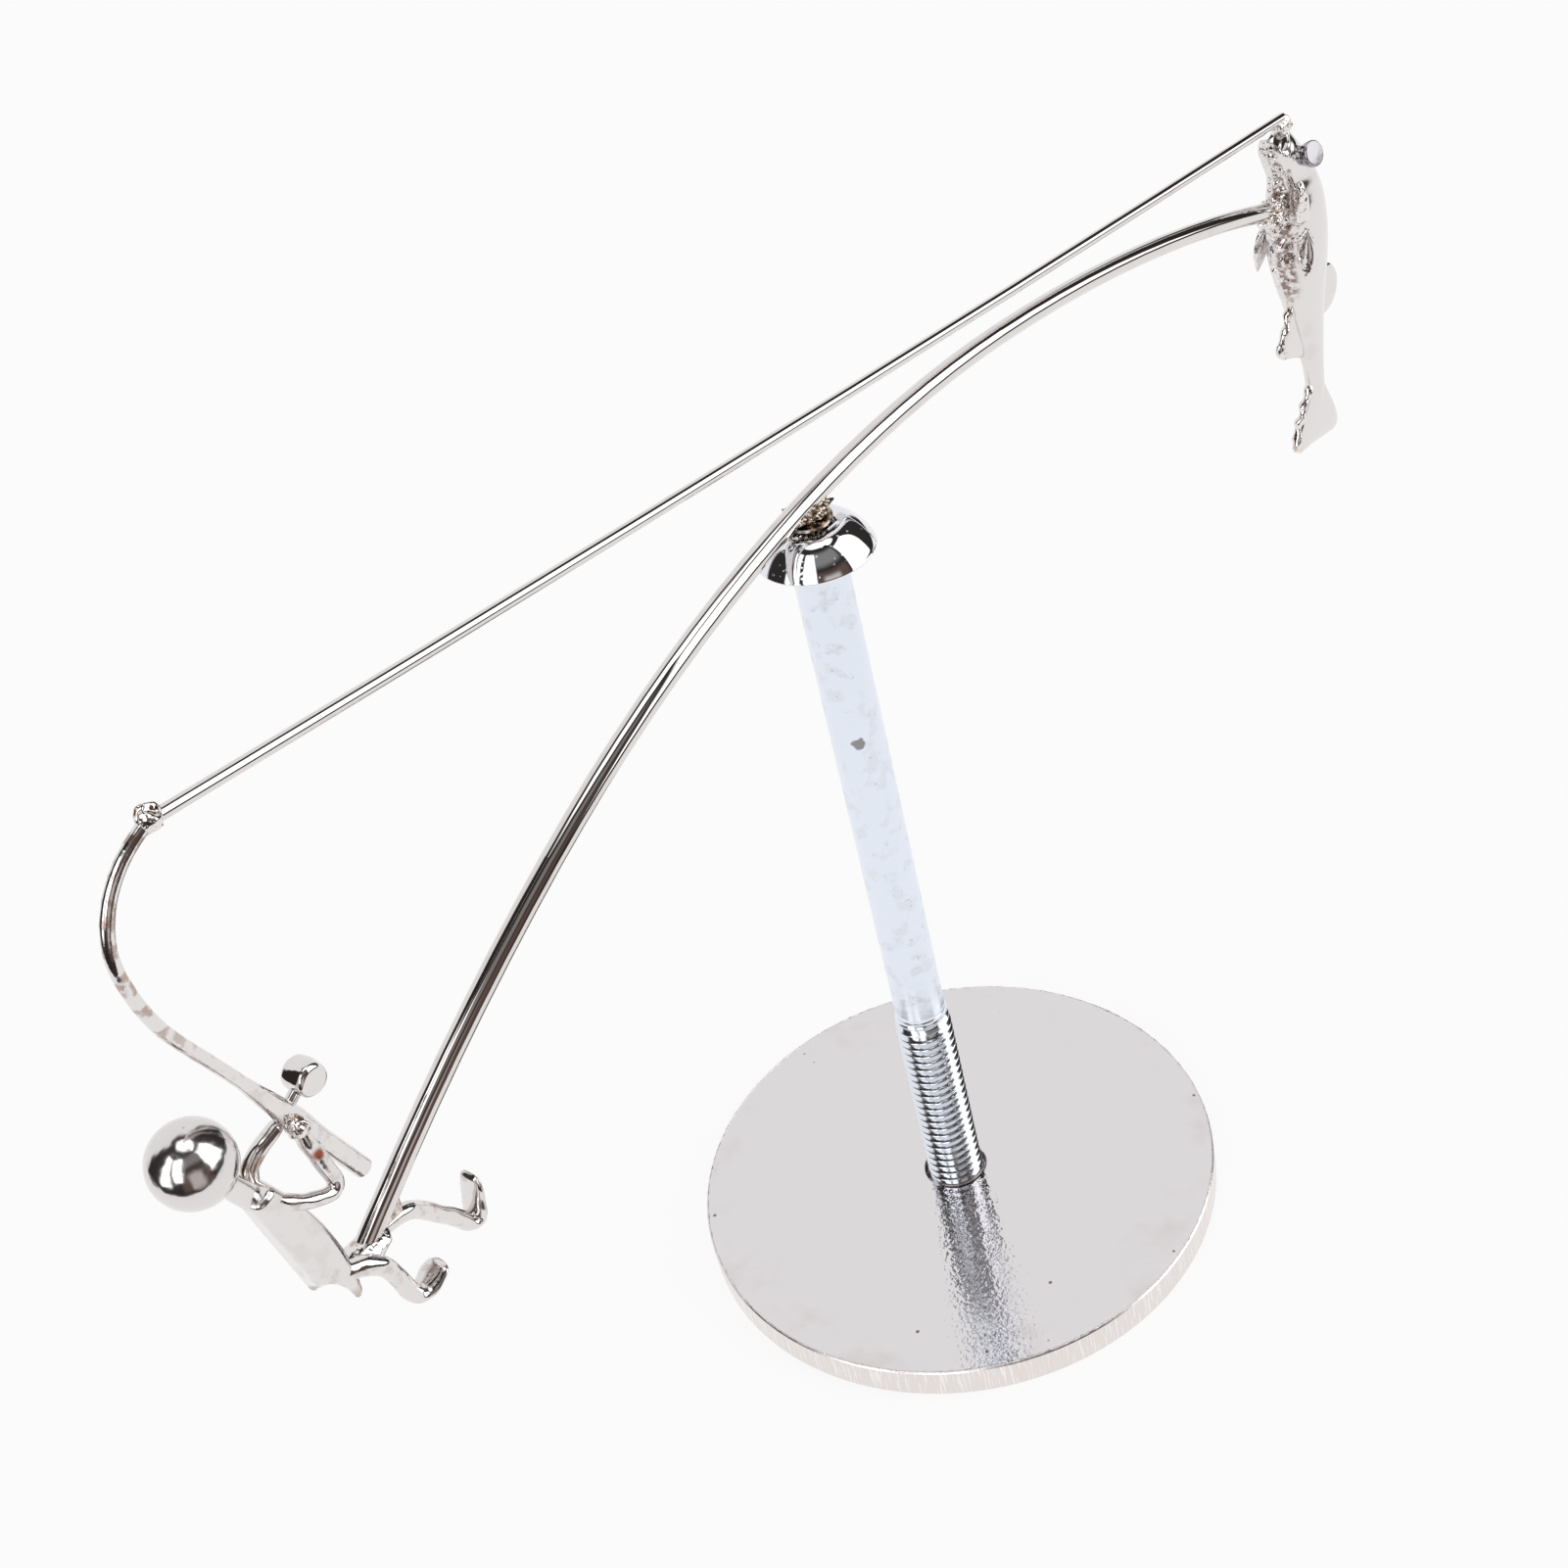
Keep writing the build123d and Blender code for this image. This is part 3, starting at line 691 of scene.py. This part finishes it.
# Each station: x, y and z in his own frame, half the width and half the thickness there.
LEFT_ARM = (
    (0.2, 0.8, 13.2, 0.75, 0.70),
    (0.7, 1.0, 14.2, 0.74, 0.70),
    (1.4, 1.1, 15.1, 0.74, 0.70),
    (2.6, 1.0, 15.75, 0.74, 0.68),
    (3.8, 0.9, 16.0, 0.74, 0.62),
    (5.2, 0.75, 16.2, 0.66, 0.55),
)
RIGHT_ARM = (
    (-0.2, -0.8, 14.2, 0.85, 0.80),
    (1.0, -1.2, 12.4, 0.75, 0.72),
    (2.2, -1.65, 11.0, 0.66, 0.64),
    (3.5, -1.85, 9.95, 0.66, 0.64),
    (4.45, -1.9, 9.6, 0.68, 0.66),
    (5.05, -1.75, 10.1, 0.72, 0.70),
    (5.2, -1.5, 11.4, 0.76, 0.72),
    (5.3, -1.1, 13.2, 0.84, 0.70),
    (5.45, -0.75, 15.0, 0.88, 0.62),
    (5.55, -0.55, 16.0, 0.70, 0.45),
)
LEFT_LEG = (
    (0.4, 1.1, 0.5, 0.80, 0.80),
    (3.4, 1.3, -0.5, 0.84, 0.84),
    (6.4, 1.6, -1.5, 0.86, 0.84),
    (8.7, 1.75, -2.5, 0.86, 0.82),
    (10.0, 1.9, -4.0, 0.84, 0.80),
    (11.2, 2.0, -6.4, 0.82, 0.78),
    (12.3, 2.05, -8.7, 0.86, 0.80),
    (12.9, 2.1, -10.2, 1.05, 0.80),
    (13.7, 2.1, -10.5, 1.35, 0.58),
    (14.4, 2.1, -9.2, 1.50, 0.42),
    (15.1, 2.1, -7.6, 1.42, 0.38),
    (15.6, 2.1, -6.4, 0.95, 0.34),
)
RIGHT_LEG = (
    (0.4, -1.0, 2.0, 0.80, 0.80),
    (1.8, -1.45, 1.45, 0.84, 0.84),
    (2.9, -1.8, 0.7, 0.86, 0.86),
    (3.7, -2.05, -0.5, 0.86, 0.84),
    (4.0, -2.2, -2.4, 0.84, 0.82),
    (4.05, -2.3, -4.6, 0.88, 0.82),
    (4.35, -2.3, -5.6, 1.05, 0.76),
    (5.1, -2.3, -5.95, 1.30, 0.56),
    (6.2, -2.3, -5.7, 1.42, 0.42),
    (7.2, -2.3, -5.45, 1.25, 0.36),
    (7.7, -2.3, -5.35, 0.85, 0.32),
)
LIMB_SIDES = 32
LIMB_ROWS = 200
LIMB_COLOUR = (0.765, 0.735, 0.725, 1)
LIMB_BROWN = (0.42, 0.29, 0.22, 1)
RUST = (0.30, 0.09, 0.06, 1)


def bar(name, stations, side=None, caps=(0.6, 0.6), wear=0.0, seed=0, rows=LIMB_ROWS):
    """An oval bar carried along a smooth path: half the width lies along side, which is given once
    or for each station, and half the thickness square to it. Both ends are flat, with their edges
    rounded to a quarter circle of each cap."""
    run = through(stations, rows)
    centre, half, turned = run[:, :3], run[:, 3:5], run[:, 5:]
    side = turned if side is None else centre * 0 + np.array(side)
    ahead = np.gradient(centre, axis=0)
    ahead /= np.linalg.norm(ahead, axis=1, keepdims=True)
    across = side - (ahead * side).sum(1, keepdims=True) * ahead
    across /= np.linalg.norm(across, axis=1, keepdims=True)
    over = np.cross(ahead, across)
    reach = np.r_[0, np.cumsum(np.linalg.norm(np.diff(centre, axis=0), axis=1))]
    for cap, gone in zip(caps, (reach, reach[-1] - reach)):
        left = 1 - np.clip(gone / cap, 0, 1)
        half = np.maximum(half - (cap * (1 - np.sqrt(1 - left ** 2)))[:, None], 0.02)
    turn = np.linspace(0, 2 * pi, LIMB_SIDES, endpoint=False)
    c, s = np.cos(turn)[:, None], np.sin(turn)[:, None]
    out = half[:, None, :1] * c * across[:, None] + half[:, None, 1:] * s * over[:, None]
    points = centre[:, None] + out
    if wear:
        points = points + out * wear * lumps(points, 1.7, seed)[..., None]
    ends = (points[:1].mean(1, keepdims=True), points[-1:].mean(1, keepdims=True))
    points = np.concatenate([ends[0] + 0 * points[:1], points, ends[1] + 0 * points[:1]])
    return surface(name, points * MM, (False, True))


def limb(name, stations, side, caps, seed):
    """One of his limbs, from stations in his own frame."""
    stations = np.array(stations)
    stations = np.hstack([his(stations[:, :3]), stations[:, 3:]])
    return bar(name, stations, side, caps, 0.03, seed)


def limb_finish(name, brown, rusty=False):
    """Bright nickel over a beaten surface, with brown clouds; the right hand has a rusty spot."""
    metal = Plating(name)
    cloud = metal.noise(1.1, 4.0).step(0.52, 0.66)
    colour = metal.mix(cloud * brown, LIMB_COLOUR, LIMB_BROWN)
    rough = 0.07 + cloud * 0.12
    if rusty:
        spot = tuple(his((5.25, -1.9, 13.4)))
        gap = metal.add("ShaderNodeVectorMath", {"operation": "SUBTRACT"}, {0: metal.here, 1: spot})
        far = metal.add("ShaderNodeVectorMath", {"operation": "LENGTH"}, {0: gap}, "Value")
        colour = metal.mix(far.step(0.75, 0.25), colour, RUST)
    return metal.finish(colour, rough + 0.03, metal.noise(1.3, 2.0), 0.035)


SIDEWAYS = (0, 1, 0)
plain_limb = limb_finish("limb_nickel", 0.30)
put(limb("left_arm_rod", LEFT_ARM, SIDEWAYS, (0.5, 0.5), 31), "beam", "limb_nickel",
    limb_finish("limb_browned", 0.85), "left_arm")
put(limb("right_arm_rod", RIGHT_ARM, SIDEWAYS, (0.5, 0.4), 32), "beam", "limb_nickel",
    limb_finish("limb_rusty", 0.30, True), "right_arm")
put(limb("left_leg_rod", LEFT_LEG, SIDEWAYS, (0.5, 0.6), 33), "beam", "limb_nickel",
    plain_limb, "left_leg")
put(limb("right_leg_rod", RIGHT_LEG, SIDEWAYS, (0.5, 0.6), 34), "beam", "limb_nickel",
    plain_limb, "right_leg")


# ---- The fishing rod and its reel ----
# The rod is one bar, hammered thicker at the hands and drawn thin to its tip. The reel is a small
# barrel on a short foot.

ROD_COLOUR = (0.775, 0.745, 0.735, 1)
ROD_BROWN = (0.40, 0.28, 0.22, 1)
REEL_R = 1.45
REEL_HALF = 1.3


def rod_finish():
    """Nickel over hammer marks, browner and rougher from the bend to the tip."""
    rod = Plating("rod_nickel")
    x, y, z = rod.xyz(rod.here)
    bent = z.step(ROD_BEND_Z, ROD_BEND_Z + 9)
    cloud = rod.noise(1.2, 4.0).step(0.50, 0.62)
    colour = rod.mix(cloud * (bent * 0.6 + 0.15), ROD_COLOUR, ROD_BROWN)
    marks = rod.noise(1.3, 3.0)
    return rod.finish(colour, 0.09 + cloud * 0.10, marks, 0.05)


def reel():
    """A barrel across the rod: a short fat bar with well rounded edges."""
    centre = np.array(middle("reel_drum")) / MM
    ends = [centre + np.array([0, k * REEL_HALF, 0]) for k in (-1, -0.5, 0, 0.5, 1)]
    half = (REEL_R - 0.06, REEL_R, REEL_R + 0.03, REEL_R, REEL_R - 0.06)
    stations = [(*end, r, r) for end, r in zip(ends, half)]
    return bar("reel_barrel", stations, (1, 0, 0), (0.42, 0.42), 0.02, 41, 90)


def reel_finish():
    """Bright nickel, a little wavy."""
    drum = Plating("reel_nickel")
    return drum.finish(LIMB_COLOUR, 0.06, drum.noise(1.8, 2.0), 0.07)


ROD_BEND_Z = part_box("fishing_rod")[1].z / MM - 22
dress("fishing_rod", rod_finish())
put(reel(), "beam", "reel_nickel", reel_finish(), "reel_drum")
dress("reel_stem", limb_finish("stem_nickel", 0.5))


# ---- The solder on the fisherman ----
# Bright drops hold his right hand to the rod and the line to the rod's tip. A puddle fills his
# lap under the arm's end, and a drawn-out web ties the arm to his left thigh.

SOLDER_COLOUR = (0.80, 0.765, 0.745, 1)
SOLDER_BROWN = (0.45, 0.30, 0.20, 1)
# Each: how far along the web, and half its thickness. Then where the web begins and ends on the
# arm and on the thigh.
WEB = ((0.0, 0.75), (0.3, 0.66), (0.6, 0.55), (0.85, 0.45), (1.0, 0.36))
WEB_ON_ARM = (-1.2, 2.9)
WEB_ON_THIGH = (3.6, 9.9)


def bright_solder(name, low, high):
    """Smooth bright solder set in rounded facets. Brown flux lies between them where a noise
    passes from low to high."""
    solder = Plating(name)
    facets = solder.add("ShaderNodeTexVoronoi", None, {"Vector": solder.here, "Scale": 1 / 0.9})
    brown = solder.noise(0.9, 3.0).step(low, high)
    colour = solder.mix(brown * 0.7, SOLDER_COLOUR, SOLDER_BROWN)
    return solder.finish(colour, 0.06 + brown * 0.1, facets + solder.noise(0.7, 2.0), 0.10)


solder_nickel = bright_solder("solder_nickel", 0.55, 0.68)
for name, node, reach, size, rough, seed in (
    ("hand_drop", "hand_solder", (0.95, 0.95, 0.95), 1.1, 0.07, 51),
    ("tip_knot", "knot_solder", (1.05, 0.95, 1.10), 1.2, 0.10, 52),
    ("lap_puddle", "seat_solder", (2.4, 1.5, 0.95), 2.0, 0.07, 53),
):
    blob = drop(name, middle(node), reach, size, rough, seed)
    put(blob, "beam", "solder_nickel", solder_nickel, node)



def arm_end():
    """A point near the arm's low end and its direction there, from two short lengths of it."""
    mesh = nodes["balance_arm"].data
    points = np.empty(len(mesh.vertices) * 3, dtype=np.float32)
    mesh.vertices.foreach_get("co", points)
    points = points.reshape(-1, 3) / MM
    height = points[:, 2] - points[:, 2].min()
    low, high = (points[(height > a) & (height < a + 3)].mean(0) for a in (0, 6))
    way = (high - low) / np.linalg.norm(high - low)
    return low, way


low, arm_way = arm_end()
thigh_way = np.array(LEFT_LEG[3][:3]) - np.array(LEFT_LEG[0][:3])
thigh_way = (thigh_way / np.linalg.norm(thigh_way)) @ HIS_AXES
hip = his(LEFT_LEG[0][:3])
web_stations = []
for share, thick in WEB:
    on_arm = low + arm_way * (WEB_ON_ARM[0] * (1 - share) + WEB_ON_ARM[1] * share)
    on_thigh = hip + thigh_way * (WEB_ON_THIGH[0] * (1 - share) + WEB_ON_THIGH[1] * share)
    wide = np.linalg.norm(on_arm - on_thigh) / 2
    web_stations.append((*((on_arm + on_thigh) / 2), wide, thick, *(on_arm - on_thigh)))
web = bar("thigh_web", web_stations, None, (0.3, 0.3), 0.12, 54, 90)
put(web, "beam", "solder_nickel", bright_solder("solder_brown", 0.40, 0.56), "thigh_solder")


# ---- The fish ----
# Two pressed halves soldered along the middle: smooth sides, a ragged bright seam down the belly
# where the arm is soldered in, an open mouth that holds the line, and thin fins.

EYE_PLACE = (0.4, 4.5)
# Each: height above the arm's joint, shift towards the back, depth from belly to back, thickness.
FISH_STATIONS = (
    (-29.0, 1.7, 3.0, 1.1),
    (-25.0, 1.7, 3.1, 1.6),
    (-21.0, 1.5, 3.7, 2.1),
    (-16.0, 0.9, 5.2, 3.2),
    (-11.0, 0.4, 7.1, 4.7),
    (-7.5, 0.1, 8.1, 5.7),
    (-4.5, 0.1, 8.3, 6.0),
    (-1.5, 0.1, 8.2, 5.7),
    (1.0, 0.0, 7.4, 4.8),
    (3.0, -0.5, 6.4, 4.0),
    (5.1, -1.4, 5.6, 4.1),
    (7.2, -2.5, 4.7, 3.8),
    (8.6, -3.1, 3.7, 3.1),
)
FISH_SIDES = 144
FISH_ROWS = 300
FISH_COLOUR = (0.775, 0.745, 0.735, 1)
FISH_BROWN = (0.20, 0.13, 0.10, 1)

eyes = (middle("fish_left_eye") + middle("fish_right_eye")) / 2 / MM
FISH_AT = np.array([eyes.x - EYE_PLACE[0], 0, eyes.z - EYE_PLACE[1]])


def fish_body():
    """Oval sections from the tail's root up. The top rim dips at the mouth's two corners, and
    inside it the surface goes on down into a cup. Lumps stand on the belly line."""
    turn = np.linspace(0, 2 * pi, FISH_SIDES, endpoint=False)
    c, s = rounded(turn, 0.92)
    run = through(FISH_STATIONS, FISH_ROWS)
    low, high = run[0, 0], run[-1, 0]
    rows = [np.zeros((FISH_SIDES, 3)) + np.array([run[0, 1], 0, low])]
    dip = 1.9 * np.sin(turn) ** 2
    for height, shift, depth, thick in run:
        share = max(0, (height - 3) / (high - 3))
        x, y = shift + c * depth / 2, s * thick / 2
        rows.append(np.stack([x, y, height - dip * share + 0 * x], -1))
    rim = rows[-1]
    core = rim.mean(0)
    for inward, down in ((0.86, 0.05), (0.72, 0.45), (0.5, 1.1), (0.25, 1.5), (0.0, 1.6)):
        ring = core + (rim - core) * inward
        ring[:, 2] = rim[:, 2] * inward + core[2] * (1 - inward) - down
        rows.append(ring)
    points = np.stack(rows)
    belly = np.clip((-c - 0.80) / 0.15, 0, 1) * np.clip((points[..., 2] + 13) / 3, 0, 1)
    ridge = np.exp(-((turn - pi) / 0.07) ** 2) * 0.16
    rough = belly * (0.20 * lumps(points, 1.7, 61) + 0.12 * lumps(points, 0.8, 62)) + ridge
    out = np.stack([c, s * 0.8, 0 * c], -1)
    points = points + rough[..., None] * out
    return surface("fish_body", (points + FISH_AT) * MM, (False, True))


def fish_finish():
    """Bright smooth sides; down the belly a brown pebbled band, with white solder beside it."""
    fish = Plating("fish_nickel")
    x, y, z = fish.xyz(fish.here)
    height = z - FISH_AT[2]
    belly = x.step(FISH_AT[0] - 2.2, FISH_AT[0] - 3.3) * height.step(-13.0, -10.0)
    band = belly * (y * -1.0).step(-0.35, 0.05) * (y * -1.0).step(1.9, 1.3)
    band = band * height.step(3.2, 1.4)
    pebbles = fish.noise(0.7, 2.0)
    cloud = fish.noise(3.0, 3.0).step(0.55, 0.75)
    colour = fish.mix(cloud * 0.06, FISH_COLOUR, FISH_BROWN)
    colour = fish.mix(band * pebbles.step(0.62, 0.42) * 0.85, colour, FISH_BROWN)
    bumps = pebbles * belly * 3.0 + fish.noise(2.6, 2.0)
    return fish.finish(colour, 0.12 + cloud * 0.06, bumps, 0.05)


fish_nickel = fish_finish()
put(fish_body(), "beam", "fish_nickel", fish_nickel, "fish_left_half", "fish_right_half")


# ---- The fish's fins ----
# Cut from sheet and soldered on: one on the back, one under the belly, the tail, and a leaf-shaped
# pair at the sides with rays pressed into them.

# Outlines on the fish's middle plane, towards its back and up from the arm's joint.
BACK_FIN = ((3.2, -11.7), (5.1, -11.4), (7.0, -12.2), (8.0, -14.2), (7.4, -16.2), (5.6, -17.3),
            (3.6, -17.0), (2.6, -14.4))
BELLY_FIN = ((-0.6, -12.6), (-2.3, -12.6), (-4.0, -15.0), (-5.4, -17.2), (-4.9, -18.2),
             (-2.6, -19.2), (-0.4, -20.2), (0.9, -18.6), (0.6, -14.5))
TAIL_FIN = ((1.6, -23.6), (0.0, -25.0), (-1.5, -27.0), (-3.1, -29.4), (-3.5, -30.8), (-2.6, -31.8),
            (0.0, -32.1), (2.8, -32.6), (5.2, -32.9), (6.0, -31.8), (5.2, -29.2), (3.8, -26.4),
            (2.8, -24.0))
SIDE_FIN = ((0.0, 0.1), (0.75, -0.9), (1.15, -2.3), (0.85, -4.0), (0.1, -5.5), (-0.45, -4.9),
            (-1.0, -3.6), (-1.15, -2.2), (-0.7, -0.8))
FIN_SIDES = 96


def leaf(name, outline, root, half_thick, axes, place, rays=0, cup=0.0):
    """A thin fin: its outline is drawn in towards its root in steps, thick inside and rounded at
    the edge. Rays are waves round the root, and cup bends its edges up."""
    reach = np.linspace(0, len(outline), FIN_SIDES, endpoint=False)
    wrap = np.array((outline[-1], *outline, *outline[:2]))
    i = reach.astype(int)
    u = (reach - i)[:, None]
    a, b, c, d = wrap[i], wrap[i + 1], wrap[i + 2], wrap[i + 3]
    edge = 0.5 * (2 * b + (c - a) * u + (2 * a - 5 * b + 4 * c - d) * u ** 2
                  + (3 * b - a - 3 * c + d) * u ** 3)
    share = np.sin(np.linspace(0, pi / 2, 16))[:, None]
    flat = np.array(root) + share[..., None] * (edge - np.array(root))
    spread = np.arctan2(*(edge - np.array(root)).T)
    thick = half_thick * np.sqrt(np.maximum(1 - share ** 4, 0))
    thick = thick * (1 + 0.45 * np.cos(rays * spread) * share) if rays else thick + 0 * spread
    lift = cup * share ** 2 * np.cos(2 * spread)
    top = np.concatenate([flat, (lift + thick)[..., None]], -1)
    under = np.concatenate([flat, (lift - thick)[..., None]], -1)
    points = np.concatenate([top, under[::-1]])
    return surface(name, (points @ np.array(axes) + np.array(place)) * MM, (False, True))


MIDDLE_PLANE = ((1, 0, 0), (0, 0, 1), (0, -1, 0))
for name, outline, root, thick in (
    ("fish_back_fin", BACK_FIN, (5.2, -14.3), 0.40),
    ("fish_belly_fin", BELLY_FIN, (-1.6, -16.2), 0.42),
    ("fish_tail_fin", TAIL_FIN, (1.6, -28.6), 0.60),
):
    put(leaf(name, outline, root, thick, MIDDLE_PLANE, FISH_AT), "beam", "fish_nickel", fish_nickel)

FIN_SWEEP, FIN_FLARE = radians(17), radians(4)
FIN_TURNS = {"left_side_fin": radians(-12), "right_side_fin": radians(-25)}
for side, node in ((1, "left_side_fin"), (-1, "right_side_fin")):
    turned = Matrix.Rotation(FIN_SWEEP, 3, "Y") @ Matrix.Rotation(side * FIN_FLARE, 3, "X")
    turned = turned @ Matrix.Rotation(FIN_TURNS[node], 3, "Z")
    axes = [list(turned @ v) for v in (Vector((1, 0, 0)), Vector((0, 0, 1)), Vector((0, side, 0)))]
    place = FISH_AT + np.array([-2.0, side * 2.55, -3.0])
    fin = leaf(node.replace("side_fin", "leaf_fin"), SIDE_FIN, (0, -0.3), 0.30, axes, place, 13, 0.2)
    put(fin, "beam", "fish_nickel", fish_nickel, node)


# ---- The fish's eyes ----
# Flat buttons on the two cheeks, tilted up a little.

EYE_COLOUR = (0.38, 0.37, 0.39, 1)
eye_metal = Plating("eye_nickel")
eye_nickel = eye_metal.finish(EYE_COLOUR, 0.09, eye_metal.noise(1.4, 2.0), 0.02)
for side, node in ((1, "fish_left_eye"), (-1, "fish_right_eye")):
    inner = np.array([eyes.x, side * 0.9, eyes.z - 0.3])
    way = np.array([-0.10, side * 0.93, 0.35])
    stations = [(*(inner + way * d), r, r) for d, r in ((0, 1.0), (0.9, 1.2), (1.6, 1.42), (2.2, 1.45))]
    eye = bar(node.replace("eye", "button"), stations, (1, 0, 0), (0.2, 0.22), 0.0, 0, 60)
    put(eye, "beam", "eye_nickel", eye_nickel, node)


# ---- The solder on the fish ----
# A rough drop round the arm's end on the belly, and a brighter one on the lips round the line.

for name, node, reach, size, rough, seed, metal in (
    ("belly_drop", "fish_solder", (1.9, 1.7, 1.75), 1.0, 0.13, 71, solder_nickel),
    ("lip_drop", "mouth_solder", (1.4, 0.95, 1.2), 1.2, 0.09, 72, solder_nickel),
):
    blob = drop(name, middle(node), reach, size, rough, seed)
    put(blob, "beam", "solder_nickel", metal, node)

# Solder has also run along the fish: a long blob beside the belly, and beads on the edges of the
# tail and the belly fin. Each bead: x and z on the fish, half its width and half its thickness.
TAIL_BEAD = ((1.7, -22.6, 0.30, 0.34), (0.2, -24.8, 0.42, 0.44), (-1.5, -27.0, 0.50, 0.46),
             (-2.9, -29.3, 0.52, 0.50), (-3.3, -30.7, 0.50, 0.52), (-2.6, -31.6, 0.42, 0.46))
BELLY_BEAD = ((-1.9, -11.6, 0.26, 0.30), (-2.5, -13.0, 0.36, 0.40), (-3.9, -15.0, 0.42, 0.46),
              (-5.0, -17.0, 0.46, 0.50), (-4.7, -18.0, 0.40, 0.46))
run = drop("belly_run", (FISH_AT + np.array([-2.75, -2.55, 0.3])) * MM, (0.9, 0.9, 2.6), 1.8, 0.09, 73)
put(run, "beam", "solder_nickel", solder_nickel)
for name, bead, seed in (("tail_bead", TAIL_BEAD, 74), ("belly_bead", BELLY_BEAD, 75)):
    stations = [(FISH_AT[0] + x, 0, FISH_AT[2] + z, wide, thick) for x, z, wide, thick in bead]
    piece = bar(name, stations, (0.85, 0, 0.5), (0.4, 0.4), 0.34, seed)
    put(piece, "beam", "solder_nickel", solder_nickel)
